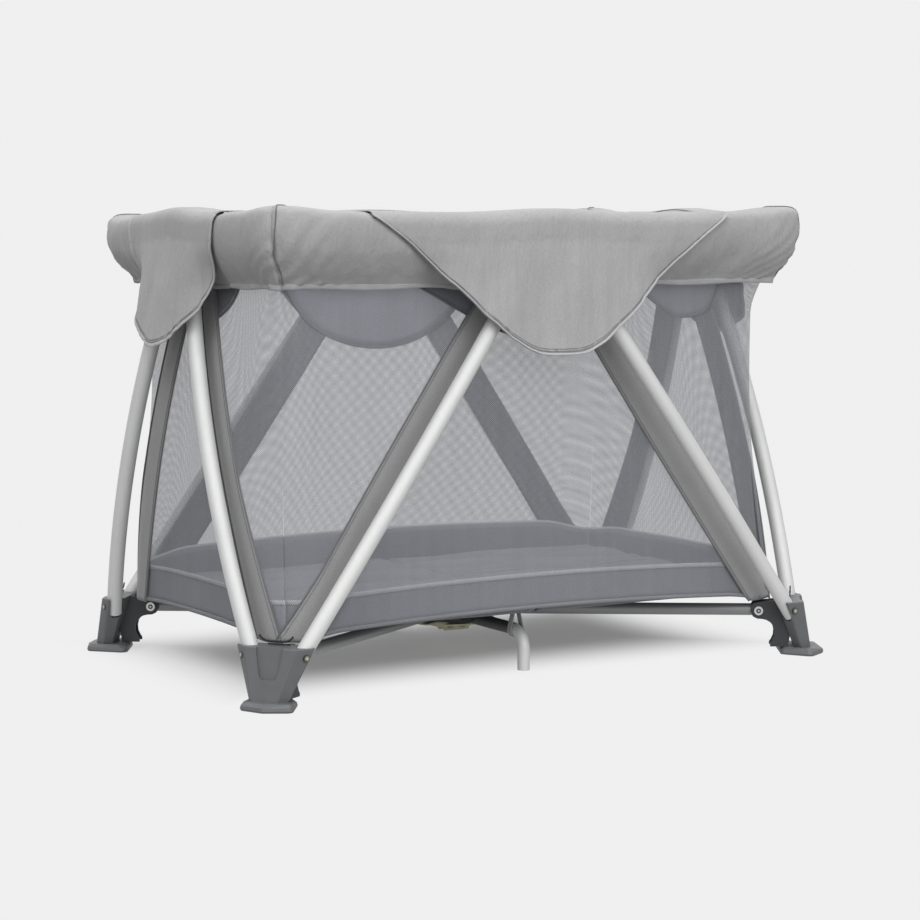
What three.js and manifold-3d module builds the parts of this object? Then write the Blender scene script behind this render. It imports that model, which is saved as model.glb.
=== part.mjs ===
// Travel play yard. Millimetres, +Z up, +X along the length, -Y is the front long side.
// Four corner feet carry eight leg tubes that lean to four mid-side hubs under the padded rim.
// Four base rails run from the feet to a raised central hub under the floor.
import * as THREE from "three";
import Module from "manifold-3d";

const wasm = await Module();
wasm.setup();

// ---- driving dimensions ----
const LEG_R = 12.5;
const LEG_BORE_R = 11.3;
const RAIL_R = 10;
const RAIL_BORE_R = 8.8;
const PIN_R = 4;
const HOLE_R = 4.6;
const LONG_FOOT = [453, 331, 78];
const LONG_TIP = [20, 300, 690];
const LONG_BOW = 20;
const SHORT_FOOT = [503, 268, 78];
const SHORT_TIP = [485, 20, 690];
const SHORT_BOW = 46;
const LONG_SWING = 29.3;
const SHORT_SWING = 20.4;
const TIP_OVERHANG = 10;
const FOOT_OVERHANG = 12;
const RAIL_Z = 73;
const RAIL_ANGLE = Math.atan2(285, 443);
const RAIL_HUB = 50;
const RAIL_FOOT = 512;
const TOP_RAIL_Z = 716;
const TOP_RAIL_START = 34;
const TOP_LONG_Y = 272;
const TOP_SHORT_X = 457;
const RIM_TOP = 741;
const RIM_EXTRA = 181;
const WALL_EXTRA = 176;
// the ends bow out after the short legs
const WALL_BOW = 22;
const WALL_TOP = 655;
const SHEET = 1.6;
const FLOOR_Z = 99;
const MATTRESS_Z = [105, 127];
const SUPPORT_Y = 72;
const SUPPORT_Z = 64;
const SUPPORT_END = 236;

// ---- materials ----
function material(name, color, roughness, metalness) {
  const m = new THREE.MeshStandardMaterial({ color, roughness, metalness });
  m.name = name;
  return m;
}
const SATIN_TUBE = material("satin_tube", 0xcdcecb, 0.38, 0.75);
const DARK_MOULDED = material("dark_moulded", 0x4c4e50, 0.6, 0);
const BLACK_MOULDED = material("black_moulded", 0x26272a, 0.55, 0);
const GREY_RAIL = material("grey_rail", 0x9a9b9a, 0.45, 0.6);
const BRIGHT_STEEL = material("bright_steel", 0xd6d7d8, 0.25, 0.95);
const KHAKI_PLATE = material("khaki_plate", 0x8b8a70, 0.5, 0.5);
const RIM_FABRIC = material("rim_fabric", 0xa2a1a0, 0.9, 0);
const MESH_FABRIC = material("mesh_fabric", 0xb1b3b8, 0.9, 0);
const QUILT_FABRIC = material("quilt_fabric", 0x8a8c94, 0.9, 0);
const FLOOR_FABRIC = material("floor_fabric", 0x6e7076, 0.9, 0);

// ---- helpers ----
function toSolid(geometry) {
  const position = geometry.getAttribute("position");
  const index = geometry.getIndex();
  const count = index ? index.count : position.count;
  const seen = new Map();
  const vertices = [];
  const corners = [];
  for (let i = 0; i < count; i += 1) {
    const k = index ? index.getX(i) : i;
    const p = [position.getX(k), position.getY(k), position.getZ(k)];
    const key = p.map((c) => Math.round(c * 1e4)).join(",");
    if (!seen.has(key)) {
      seen.set(key, seen.size);
      vertices.push(...p);
    }
    corners.push(seen.get(key));
  }
  const kept = [];
  for (let i = 0; i < corners.length; i += 3) {
    const [a, b, c] = corners.slice(i, i + 3);
    if (a !== b && b !== c && a !== c) kept.push(a, b, c);
  }
  return new wasm.Manifold(new wasm.Mesh({
    numProp: 3,
    vertProperties: new Float32Array(vertices),
    triVerts: new Uint32Array(kept),
  }));
}

function toGeometry(solid) {
  const mesh = solid.getMesh();
  const geometry = new THREE.BufferGeometry();
  geometry.setAttribute("position", new THREE.BufferAttribute(new Float32Array(mesh.vertProperties), 3));
  geometry.setIndex(Array.from(mesh.triVerts));
  const flat = geometry.toNonIndexed();
  flat.computeVertexNormals();
  return flat;
}

function box(x0, x1, y0, y1, z0, z1) {
  const g = new THREE.BoxGeometry(x1 - x0, y1 - y0, z1 - z0);
  g.translate((x0 + x1) / 2, (y0 + y1) / 2, (z0 + z1) / 2);
  return toSolid(g);
}

// a straight rod or bore between two points
function rod(a, b, radius, segments = 16) {
  const start = new THREE.Vector3(...a);
  const end = new THREE.Vector3(...b);
  const along = end.clone().sub(start);
  const g = new THREE.CylinderGeometry(radius, radius, along.length(), segments);
  g.rotateX(Math.PI / 2);
  const turn = new THREE.Quaternion().setFromUnitVectors(
    new THREE.Vector3(0, 0, 1), along.clone().normalize());
  g.applyQuaternion(turn);
  g.translate((a[0] + b[0]) / 2, (a[1] + b[1]) / 2, (a[2] + b[2]) / 2);
  return toSolid(g);
}

// a tube along a curve, open at both ends
function tube(curve, outer, bore, steps, segments = 6) {
  const ring = new THREE.Shape().absarc(0, 0, outer, 0, Math.PI * 2, false);
  ring.holes.push(new THREE.Path().absarc(0, 0, bore, 0, Math.PI * 2, true));
  const g = new THREE.ExtrudeGeometry(ring, {
    steps,
    curveSegments: segments,
    extrudePath: curve,
    bevelEnabled: false,
  });
  return toSolid(g);
}

function straightTube(a, b, outer, bore) {
  return tube(new THREE.LineCurve3(new THREE.Vector3(...a), new THREE.Vector3(...b)), outer, bore, 1);
}

// a prism from a plan outline, rounded by discs at its corners, tapering from one outline to another
function discHull(lower, lowerR, z0, upper, upperR, z1) {
  const discs = [];
  for (const [x, y] of lower) discs.push(rod([x, y, z0], [x, y, z0 + 1], lowerR, 10));
  for (const [x, y] of upper) discs.push(rod([x, y, z1 - 1], [x, y, z1], upperR, 10));
  return wasm.Manifold.hull(discs);
}

function joined(list) {
  return list.reduce((sum, piece) => sum.add(piece));
}

function cut(solid, list) {
  return list.reduce((rest, piece) => rest.subtract(piece), solid);
}

// a thin sheet over a grid of points, thickened towards its back
function sheet(point, nu, nv, thickness) {
  const front = [];
  for (let j = 0; j <= nv; j += 1) {
    for (let i = 0; i <= nu; i += 1) front.push(new THREE.Vector3(...point(i / nu, j / nv)));
  }
  const at = (i, j) => front[j * (nu + 1) + i];
  const back = [];
  for (let j = 0; j <= nv; j += 1) {
    for (let i = 0; i <= nu; i += 1) {
      const du = at(Math.min(i + 1, nu), j).clone().sub(at(Math.max(i - 1, 0), j));
      const dv = at(i, Math.min(j + 1, nv)).clone().sub(at(i, Math.max(j - 1, 0)));
      back.push(at(i, j).clone().addScaledVector(du.cross(dv).normalize(), -thickness));
    }
  }
  const n = front.length;
  const points = [...front, ...back];
  const faces = [];
  const quad = (a, b, c, d) => faces.push(a, b, c, a, c, d);
  const id = (i, j) => j * (nu + 1) + i;
  for (let j = 0; j < nv; j += 1) {
    for (let i = 0; i < nu; i += 1) {
      quad(id(i, j), id(i + 1, j), id(i + 1, j + 1), id(i, j + 1));
      quad(n + id(i, j), n + id(i, j + 1), n + id(i + 1, j + 1), n + id(i + 1, j));
    }
  }
  for (let i = 0; i < nu; i += 1) {
    quad(id(i + 1, 0), id(i, 0), n + id(i, 0), n + id(i + 1, 0));
    quad(id(i, nv), id(i + 1, nv), n + id(i + 1, nv), n + id(i, nv));
  }
  for (let j = 0; j < nv; j += 1) {
    quad(id(0, j), id(0, j + 1), n + id(0, j + 1), n + id(0, j));
    quad(id(nu, j + 1), id(nu, j), n + id(nu, j), n + id(nu, j + 1));
  }
  const g = new THREE.BufferGeometry();
  g.setAttribute("position", new THREE.BufferAttribute(new Float32Array(points.flatMap((p) => p.toArray())), 3));
  g.setIndex(faces);
  return toSolid(g);
}

const yard = new THREE.Group();
yard.name = "travel_play_yard";
function put(name, solid, mat) {
  const mesh = new THREE.Mesh(toGeometry(solid), mat);
  mesh.name = name;
  yard.add(mesh);
}

const CORNERS = [["fl", -1, -1], ["fr", 1, -1], ["rl", -1, 1], ["rr", 1, 1]];
const turned = ([x, y, z], sx, sy) => [sx * x, sy * y, z];

// ---- legs ----
function legCurve(foot, tip, bow) {
  const a = new THREE.Vector3(...foot);
  const b = new THREE.Vector3(...tip);
  const mid = a.clone().add(b).multiplyScalar(0.5).add(new THREE.Vector3(...bow));
  const inner = new THREE.QuadraticBezierCurve3(a, mid, b);
  const low = a.clone().addScaledVector(inner.getTangent(0), -FOOT_OVERHANG);
  const high = b.clone().addScaledVector(inner.getTangent(1), TIP_OVERHANG);
  const points = [low, ...inner.getPoints(10), high];
  return new THREE.CatmullRomCurve3(points, false, "centripetal");
}

// the room a leg needs at its foot while it swings up
function legRoom(foot, tip, bow, axis, swing) {
  const start = new THREE.Vector3(...foot);
  const mid = start.clone().add(new THREE.Vector3(...tip)).multiplyScalar(0.5).add(new THREE.Vector3(...bow));
  const way = mid.sub(start).normalize();
  const rods = [];
  for (const part of [-0.08, 0.25, 0.5, 0.75, 1.08]) {
    const d = way.clone().applyAxisAngle(new THREE.Vector3(...axis), THREE.MathUtils.degToRad(swing * part));
    const low = start.clone().addScaledVector(d, -FOOT_OVERHANG - 1.5);
    const high = start.clone().addScaledVector(d, 70);
    rods.push(rod(low.toArray(), high.toArray(), LEG_R + 1.8, 10));
  }
  return wasm.Manifold.hull(rods);
}

for (const [id, sx, sy] of CORNERS) {
  const longFoot = turned(LONG_FOOT, sx, sy);
  const longTip = turned(LONG_TIP, sx, sy);
  const shortFoot = turned(SHORT_FOOT, sx, sy);
  const shortTip = turned(SHORT_TIP, sx, sy);
  const acrossY = (p, r) => rod([p[0], p[1] - 20, p[2]], [p[0], p[1] + 20, p[2]], r, 10);
  const acrossX = (p, r) => rod([p[0] - 20, p[1], p[2]], [p[0] + 20, p[1], p[2]], r, 10);
  const longTube = tube(legCurve(longFoot, longTip, [0, sy * LONG_BOW, 0]), LEG_R, LEG_BORE_R, 7);
  const shortTube = tube(legCurve(shortFoot, shortTip, [sx * SHORT_BOW, 0, 0]), LEG_R, LEG_BORE_R, 7);
  put(`long_leg_${id}`, cut(longTube, [acrossY(longFoot, HOLE_R), acrossY(longTip, HOLE_R)]), SATIN_TUBE);
  put(`short_leg_${id}`, cut(shortTube, [acrossX(shortFoot, HOLE_R), acrossX(shortTip, HOLE_R)]), SATIN_TUBE);
}

// ---- corner feet ----
const FOOT_PAD = [[486, 351], [514, 331], [528, 301], [492, 265], [455, 316]];
const FOOT_LOW = [[472, 340], [488, 341], [521, 297], [521, 288], [503, 284], [472, 320]];
const FOOT_HIGH = [[443, 343], [467, 343], [515, 275], [515, 257], [497, 257], [443, 322]];
const LOW_R = 6;
const HIGH_R = 7;
const PAD_HEIGHT = 12;
const SHELL_TOP = 92;
for (const [id, sx, sy] of CORNERS) {
  const plan = (list) => list.map(([x, y]) => [sx * x, sy * y]);
  const pad = discHull(plan(FOOT_PAD), 11, 0, plan(FOOT_PAD), 9, PAD_HEIGHT);
  const shell = discHull(plan(FOOT_LOW), LOW_R, PAD_HEIGHT - 1, plan(FOOT_HIGH), HIGH_R, SHELL_TOP);
  const longFoot = turned(LONG_FOOT, sx, sy);
  const shortFoot = turned(SHORT_FOOT, sx, sy);
  const longRoom = legRoom(
    longFoot, turned(LONG_TIP, sx, sy), [0, sy * LONG_BOW, 0], [0, sx, 0], LONG_SWING);
  const shortRoom = legRoom(
    shortFoot, turned(SHORT_TIP, sx, sy), [sx * SHORT_BOW, 0, 0], [-sy, 0, 0], SHORT_SWING);
  const body = cut(joined([pad, shell]), [longRoom, shortRoom]);
  const [lx, ly, lz] = longFoot;
  const [hx, hy, hz] = shortFoot;
  const longPin = rod([lx, ly - sy * 15, lz], [lx, ly + sy * 15, lz], PIN_R, 10);
  const shortPin = rod([hx - sx * 15, hy, hz], [hx + sx * 15, hy, hz], PIN_R, 10);
  const parts = joined([body, longPin, shortPin]).decompose();
  parts.sort((a, b) => b.volume() - a.volume());
  put(`foot_shell_${id}`, parts[0], DARK_MOULDED);
}

// ---- base rails, their forks and bolts ----
// a shape drawn in the upright plane of a rail (along the rail, up) and thickened across it
function alongRail(shape, halfFrom, halfTo, sx, sy) {
  const g = new THREE.ExtrudeGeometry(shape, {
    depth: halfTo - halfFrom,
    bevelEnabled: false,
    curveSegments: 5,
  });
  const along = new THREE.Vector3(sx * Math.cos(RAIL_ANGLE), sy * Math.sin(RAIL_ANGLE), 0);
  const up = new THREE.Vector3(0, 0, 1);
  const side = along.clone().cross(up);
  const frame = new THREE.Matrix4().makeBasis(along, up, side);
  g.translate(0, 0, halfFrom);
  g.applyMatrix4(frame);
  return toSolid(g);
}

function railPoint(radius, across, z, sx, sy) {
  const cos = Math.cos(RAIL_ANGLE);
  const sin = Math.sin(RAIL_ANGLE);
  return [sx * cos * radius + sy * sin * across, sy * sin * radius - sx * cos * across, z];
}

const CHEEK_GAP = 10.6;
const CHEEK_OUT = 14.6;
function forkShape() {
  const s = new THREE.Shape();
  s.moveTo(RAIL_FOOT + 60, 14);
  s.lineTo(RAIL_FOOT + 60, RAIL_Z + 12);
  s.lineTo(RAIL_FOOT, RAIL_Z + 13);
  s.absarc(RAIL_FOOT, RAIL_Z, 13, Math.PI / 2, Math.PI * 1.5, false);
  s.quadraticCurveTo(RAIL_FOOT + 18, RAIL_Z - 18, RAIL_FOOT + 24, 14);
  s.closePath();
  return s;
}
for (const [id, sx, sy] of CORNERS) {
  const web = new THREE.Shape();
  web.moveTo(RAIL_FOOT + 14, 40);
  web.lineTo(RAIL_FOOT + 60, 14);
  web.lineTo(RAIL_FOOT + 60, RAIL_Z + 11);
  web.lineTo(RAIL_FOOT + 14, RAIL_Z + 11);
  web.closePath();
  const fork = joined([
    alongRail(forkShape(), CHEEK_GAP, CHEEK_OUT, sx, sy),
    alongRail(forkShape(), -CHEEK_OUT, -CHEEK_GAP, sx, sy),
    alongRail(web, -CHEEK_OUT, CHEEK_OUT, sx, sy),
  ]);
  const at = (across) => railPoint(RAIL_FOOT, across, RAIL_Z, sx, sy);
  const hole = rod(at(-30), at(30), PIN_R + 0.2, 10);
  const rail = straightTube(
    railPoint(RAIL_HUB - 9, 0, RAIL_Z, sx, sy), railPoint(RAIL_FOOT + 7, 0, RAIL_Z, sx, sy),
    RAIL_R, RAIL_BORE_R);
  const hubHole = rod(
    railPoint(RAIL_HUB, -30, RAIL_Z, sx, sy), railPoint(RAIL_HUB, 30, RAIL_Z, sx, sy), HOLE_R, 10);
  const footHole = rod(at(-30), at(30), HOLE_R, 10);
  const bolt = joined([
    rod(at(-17.8), at(17.8), PIN_R, 10),
    rod(at(15), at(19), 7.5, 20),
    rod(at(-19), at(-15), 7.5, 20),
  ]);
  const shellSolid = discHull(
    FOOT_LOW.map(([x, y]) => [sx * x, sy * y]), LOW_R + 0.5, PAD_HEIGHT - 2,
    FOOT_HIGH.map(([x, y]) => [sx * x, sy * y]), HIGH_R + 0.5, SHELL_TOP + 1);
  const padSolid = discHull(
    FOOT_PAD.map(([x, y]) => [sx * x, sy * y]), 11.5, -1,
    FOOT_PAD.map(([x, y]) => [sx * x, sy * y]), 9.5, PAD_HEIGHT + 0.5);
  put(`foot_fork_${id}`, cut(fork, [hole, shellSolid, padSolid]), BLACK_MOULDED);
  put(`base_rail_${id}`, cut(rail, [hubHole, footHole]), GREY_RAIL);
  put(`rail_bolt_${id}`, bolt, BRIGHT_STEEL);
}

// ---- central hub ----
const HUB_CORE_R = 36;
const hubParts = [rod([0, 0, 58], [0, 0, 92], HUB_CORE_R, 24)];
for (const [, sx, sy] of CORNERS) {
  const ear = new THREE.Shape();
  ear.moveTo(28, RAIL_Z - 11);
  ear.lineTo(RAIL_HUB, RAIL_Z - 11);
  ear.absarc(RAIL_HUB, RAIL_Z, 11, -Math.PI / 2, Math.PI / 2, false);
  ear.lineTo(28, RAIL_Z + 11);
  ear.closePath();
  hubParts.push(alongRail(ear, CHEEK_GAP, CHEEK_OUT - 0.6, sx, sy));
  hubParts.push(alongRail(ear, -CHEEK_OUT + 0.6, -CHEEK_GAP, sx, sy));
  hubParts.push(rod(
    railPoint(RAIL_HUB, -13, RAIL_Z, sx, sy), railPoint(RAIL_HUB, 13, RAIL_Z, sx, sy), PIN_R, 10));
}
for (const sy of [-1, 1]) {
  for (const sx of [-1, 1]) {
    const cheek = [sx * 10.6, sx * 14].sort((a, b) => a - b);
    const reach = [sy * 30, sy * (SUPPORT_Y + 9)].sort((a, b) => a - b);
    hubParts.push(box(cheek[0], cheek[1], reach[0], reach[1], SUPPORT_Z - 5, SUPPORT_Z + 11));
  }
  hubParts.push(rod([-12, sy * SUPPORT_Y, SUPPORT_Z], [12, sy * SUPPORT_Y, SUPPORT_Z], PIN_R, 10));
}
const hubRoom = [rod([0, 0, 66], [0, 0, 100], 10, 10), rod([0, 0, 82], [0, 0, 100], 27, 20)];
for (const [, sx, sy] of CORNERS) {
  hubRoom.push(rod(
    railPoint(RAIL_HUB - 9.8, 0, RAIL_Z, sx, sy), railPoint(RAIL_HUB + 20, 0, RAIL_Z, sx, sy), RAIL_R + 0.6, 10));
}
const hubPins = [];
for (const [, sx, sy] of CORNERS) {
  hubPins.push(rod(
    railPoint(RAIL_HUB, -13, RAIL_Z, sx, sy), railPoint(RAIL_HUB, 13, RAIL_Z, sx, sy), PIN_R, 10));
}
put("hub_housing", joined([cut(joined(hubParts), hubRoom), ...hubPins]), BLACK_MOULDED);

// pull handle in the hub's cup: stem, disc and a finger loop
const loop = new THREE.TorusGeometry(13, 3, 10, 10);
loop.rotateX(Math.PI / 2);
loop.scale(1.3, 1, 0.6);
loop.translate(0, 0, 94);
put("fold_handle", joined([
  rod([0, 0, 67], [0, 0, 90], 9.4, 10),
  rod([0, 0, 84], [0, 0, 88], 26, 20),
  toSolid(loop),
]), DARK_MOULDED);

// pressed plate under the hub, notched where the rails swing down
const PLATE_TOP = 53;
const ellipse = new THREE.Shape().absellipse(0, 0, 74, 57.5, 0, Math.PI * 2, false, 0);
const plateSheet = new THREE.ExtrudeGeometry(ellipse, { depth: 2.5, bevelEnabled: false, curveSegments: 14 });
plateSheet.translate(0, 0, PLATE_TOP - 2.5);
const plateParts = [toSolid(plateSheet)];
// two winged webs hang from the plate's middle, one each side of the centre line
for (const sy of [-1, 1]) {
  const web = new THREE.Shape();
  web.moveTo(-23, 36);
  web.lineTo(23, 36);
  web.lineTo(25, 40.5);
  web.lineTo(64, 50.8);
  web.lineTo(64, 52);
  web.lineTo(-64, 52);
  web.lineTo(-64, 50.8);
  web.lineTo(-25, 40.5);
  web.closePath();
  const sheet = new THREE.ExtrudeGeometry(web, { depth: 2.5, bevelEnabled: false });
  sheet.rotateX(Math.PI / 2);
  sheet.translate(0, sy > 0 ? 10.5 : -8, 0);
  plateParts.push(toSolid(sheet));
}
const plateCuts = [];
for (const [, sx, sy] of CORNERS) {
  const slot = new THREE.Shape();
  slot.moveTo(39, 20);
  slot.lineTo(110, 20);
  slot.lineTo(110, 90);
  slot.lineTo(39, 90);
  slot.closePath();
  plateCuts.push(alongRail(slot, -12.5, 12.5, sx, sy));
}
const rivetSpots = [[-12, -1], [12, -1], [-12, 1], [12, 1]];
for (const [x, sy] of rivetSpots) {
  plateCuts.push(rod([x, sy * 4, 44], [x, sy * 16, 44], 3.3, 16));
}
put("hub_plate", cut(joined(plateParts), plateCuts), KHAKI_PLATE);
for (const [k, [x, sy]] of rivetSpots.entries()) {
  put(`plate_rivet_${k + 1}`, joined([
    rod([x, sy * 5.6, 44], [x, sy * 13.5, 44], 3.1, 16),
    rod([x, sy * 10.8, 44], [x, sy * 13.5, 44], 4.8, 16),
    rod([x, sy * 5.6, 44], [x, sy * 7.7, 44], 4.6, 16),
  ]), BRIGHT_STEEL);
}

// ---- support legs, one to the front and one to the rear of the hub ----
for (const [id, sy] of [["front", -1], ["rear", 1]]) {
  const bend = 26;
  const path = new THREE.CurvePath();
  const end = SUPPORT_END - RAIL_R;
  path.add(new THREE.LineCurve3(
    new THREE.Vector3(0, sy * (SUPPORT_Y - 8), SUPPORT_Z), new THREE.Vector3(0, sy * (end - bend), SUPPORT_Z)));
  path.add(new THREE.QuadraticBezierCurve3(
    new THREE.Vector3(0, sy * (end - bend), SUPPORT_Z), new THREE.Vector3(0, sy * end, SUPPORT_Z),
    new THREE.Vector3(0, sy * end, SUPPORT_Z - bend)));
  path.add(new THREE.LineCurve3(
    new THREE.Vector3(0, sy * end, SUPPORT_Z - bend), new THREE.Vector3(0, sy * end, 0.5)));
  const hole = rod([-20, sy * SUPPORT_Y, SUPPORT_Z], [20, sy * SUPPORT_Y, SUPPORT_Z], HOLE_R, 10);
  const foot = rod([0, sy * end, 0], [0, sy * end, 3], RAIL_R, 20);
  put(`support_leg_${id}`, cut(joined([tube(path, RAIL_R, RAIL_BORE_R, 7), foot]), [hole]), SATIN_TUBE);
}

// ---- mid-side hubs, top rails and corner joints ----
// the front hub, drawn once: cheeks for two leg tips outside, cheeks for two top rails inside
function sideHub(legSpread, hostSide, outerGap) {
  const plate = (y0, y1) => wasm.Manifold.hull([
    rod([-30, y0, 719], [-30, y1, 719], 13, 14),
    rod([30, y0, 719], [30, y1, 719], 13, 14),
    rod([-legSpread, y0, 690], [-legSpread, y1, 690], 12, 14),
    rod([legSpread, y0, 690], [legSpread, y1, 690], 12, 14),
  ]);
  const web = box(-38, 38, -outerGap - 3, 27.5, 728.4, 732);
  const parts = [plate(-outerGap - 3, -outerGap), plate(0.9, 3.5), plate(24.3, 27.5), web];
  for (const s of [-1, 1]) {
    parts.push(rod([s * TOP_RAIL_START, 2, TOP_RAIL_Z], [s * TOP_RAIL_START, 26, TOP_RAIL_Z], PIN_R, 10));
  }
  parts.push(rod([hostSide * legSpread, -29, 690], [hostSide * legSpread, 1, 690], PIN_R, 10));
  return joined(parts);
}
// y in the drawing is measured inwards from the gap between legs and rails
const LONG_HUB_Y = TOP_LONG_Y + 13.9;
const SHORT_HUB_X = TOP_SHORT_X + 13.9;
const hubFor = {
  front: sideHub(LONG_TIP[0], -1, 28.4).translate([0, -LONG_HUB_Y, 0]),
  rear: sideHub(LONG_TIP[0], -1, 28.4).rotate([0, 0, 180]).translate([0, LONG_HUB_Y, 0]),
  left: sideHub(SHORT_TIP[1], -1, 31).rotate([0, 0, -90]).translate([-SHORT_HUB_X, 0, 0]),
  right: sideHub(SHORT_TIP[1], -1, 31).rotate([0, 0, 90]).translate([SHORT_HUB_X, 0, 0]),
};
for (const [id, solid] of Object.entries(hubFor)) put(`side_hub_${id}`, solid, BLACK_MOULDED);

const CORNER_X = TOP_SHORT_X;
const CORNER_Y = TOP_LONG_Y;
const BLOCK = 17;
for (const [id, sx, sy] of CORNERS) {
  const z = TOP_RAIL_Z;
  const longEnd = CORNER_X - BLOCK - 0.5;
  const longRail = straightTube([sx * (TOP_RAIL_START - 6), sy * CORNER_Y, z],
    [sx * longEnd, sy * CORNER_Y, z], RAIL_R, RAIL_BORE_R);
  const shortEnd = CORNER_Y - BLOCK - 20;
  const shortRail = straightTube([sx * CORNER_X, sy * (TOP_RAIL_START - 6), z],
    [sx * CORNER_X, sy * shortEnd, z], RAIL_R, RAIL_BORE_R);
  const longHole = rod([sx * TOP_RAIL_START, sy * CORNER_Y - 20, z], [sx * TOP_RAIL_START, sy * CORNER_Y + 20, z],
    HOLE_R, 10);
  const shortHole = rod([sx * CORNER_X - 20, sy * TOP_RAIL_START, z], [sx * CORNER_X + 20, sy * TOP_RAIL_START, z],
    HOLE_R, 10);
  put(`top_rail_long_${id}`, cut(longRail, [longHole]), GREY_RAIL);
  put(`top_rail_short_${id}`, cut(shortRail, [shortHole]), GREY_RAIL);
  const plan = [[CORNER_X - 7, CORNER_Y - 7], [CORNER_X + 7, CORNER_Y - 7], [CORNER_X + 7, CORNER_Y + 7],
    [CORNER_X - 7, CORNER_Y + 7]].map(([x, y]) => [sx * x, sy * y]);
  put(`corner_joint_${id}`, joined([
    discHull(plan, 9.5, z - 13, plan, 9.5, z + 13),
    rod([sx * (longEnd - 22), sy * CORNER_Y, z], [sx * (CORNER_X - 5), sy * CORNER_Y, z], RAIL_BORE_R - 0.3, 10),
  ]), BLACK_MOULDED);
}

// ---- soft goods ----
// a point on a rounded rectangle: half sizes a (along) and b (out), corner radius r, t from -1 to 1
function around(a, b, r, t) {
  const straight = a - r;
  const total = straight + (r * Math.PI) / 4;
  const s = Math.abs(t) * total;
  const sign = Math.sign(t);
  if (s <= straight) return [sign * s, b];
  const turn = (s - straight) / r;
  return [sign * (straight + r * Math.sin(turn)), b - r + r * Math.cos(turn)];
}

const SIDES = [["front", 0, true], ["right", 90, false], ["rear", 180, true], ["left", 270, false]];
// points are drawn for the front side, outwards is -Y, then turned to their side
function turnSide([along, out, z], degrees) {
  const a = THREE.MathUtils.degToRad(degrees);
  const x = along;
  const y = -out;
  return [x * Math.cos(a) - y * Math.sin(a), x * Math.sin(a) + y * Math.cos(a), z];
}

const GAP = 0.004;
for (const [id, degrees, long] of SIDES) {
  const wall = (u, v) => {
    const t = (2 * u - 1) * (1 - GAP);
    const hem = long ? 98 + 14 * (1 - t * t) : 92 + 6 * (1 - t * t);
    const z = hem + (WALL_TOP - hem) * v;
    const h = (z - 92) / (WALL_TOP - 92);
    const n = 286 - 22 * h - 8 * Math.sin(Math.PI * h);
    const r = 50 + 40 * Math.sin(Math.PI * h) + 10 * h;
    const extra = WALL_EXTRA + WALL_BOW * Math.sin(Math.PI * h * 0.85);
    const [a, b] = long ? [n + extra, n] : [n, n + extra];
    return turnSide([...around(a, b, r, t), z], degrees);
  };
  put(`wall_${id}`, sheet(wall, 20, 6, SHEET), MESH_FABRIC);
}

// rim cover: a padded channel over the top rails with a pointed flap at mid-side
const RIM_LOW = 628;
const FLAP_LOW = 522;
const FLAP_ROUND = 80;
const RIM_SECTION = [[250, 660], [247, 690], [249, 728], [261, 740], [288, 741], [313, 740], [322, 733], [322, 700]];
for (const [id, degrees, long] of SIDES) {
  const flapSlope = long ? 0.906 : 1.41;
  const flapWide = long ? 185 : 119;
  const cover = (u, v) => {
    const t = (2 * u - 1) * (1 - GAP);
    const x = Math.abs(t) * (long ? 492 : 310);
    const flapEdge = FLAP_LOW + Math.hypot(flapSlope * x, FLAP_ROUND) - FLAP_ROUND;
    const low = Math.min(RIM_LOW, flapEdge);
    const last = RIM_SECTION.length - 1;
    const folds = 11;
    const k = v * folds;
    let n;
    let z;
    if (k <= last) {
      const i = Math.min(Math.floor(k), last - 1);
      const f = k - i;
      n = RIM_SECTION[i][0] * (1 - f) + RIM_SECTION[i + 1][0] * f;
      z = RIM_SECTION[i][1] * (1 - f) + RIM_SECTION[i + 1][1] * f;
    } else {
      z = 700 + ((low - 700) * (k - last)) / (folds - last);
      const drop = (700 - z) / (700 - FLAP_LOW);
      const tapered = 322 - 42 * Math.min(1, (700 - z) / 72);
      const hung = 322 + (long ? 14 : 34) * drop;
      const blend = Math.min(1, Math.max(0, 1 - (x - flapWide) / 90));
      n = tapered + (hung - tapered) * blend;
    }
    if (!long && n > 290) n += 7 * (1 - t * t);
    const r = Math.max(8, 72 + (n - 322));
    const [a, b] = long ? [n + RIM_EXTRA, n] : [n, n + RIM_EXTRA];
    return turnSide([...around(a, b, r, t), z], degrees);
  };
  const reversed = (u, v) => cover(1 - u, v);
  put(`rim_cover_${id}`, sheet(reversed, 12, 11, SHEET), RIM_FABRIC);
}

// floor fabric with a hole over the hub's handle, and the quilted mattress on it
const floorPlan = [[-418, -240], [418, -240], [418, 240], [-418, 240]];
const floorSheet = discHull(floorPlan, 32, FLOOR_Z, floorPlan, 32, FLOOR_Z + 2);
put("floor_panel", cut(floorSheet, [rod([0, 0, 90], [0, 0, 110], 38, 20)]), FLOOR_FABRIC);
const padPlan = [[-405, -225], [405, -225], [405, 225], [-405, 225]];
put("mattress", discHull(padPlan, 36, MATTRESS_Z[0], padPlan, 34, MATTRESS_Z[1]), QUILT_FABRIC);

export default yard;
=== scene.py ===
"""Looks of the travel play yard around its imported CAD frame. Metres, +Z up, -Y is the front."""

from math import acos, atan, atan2, cos, exp, hypot, pi, radians, sin, sqrt

import bmesh
import bpy
from mathutils import Matrix, Vector, noise


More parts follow.
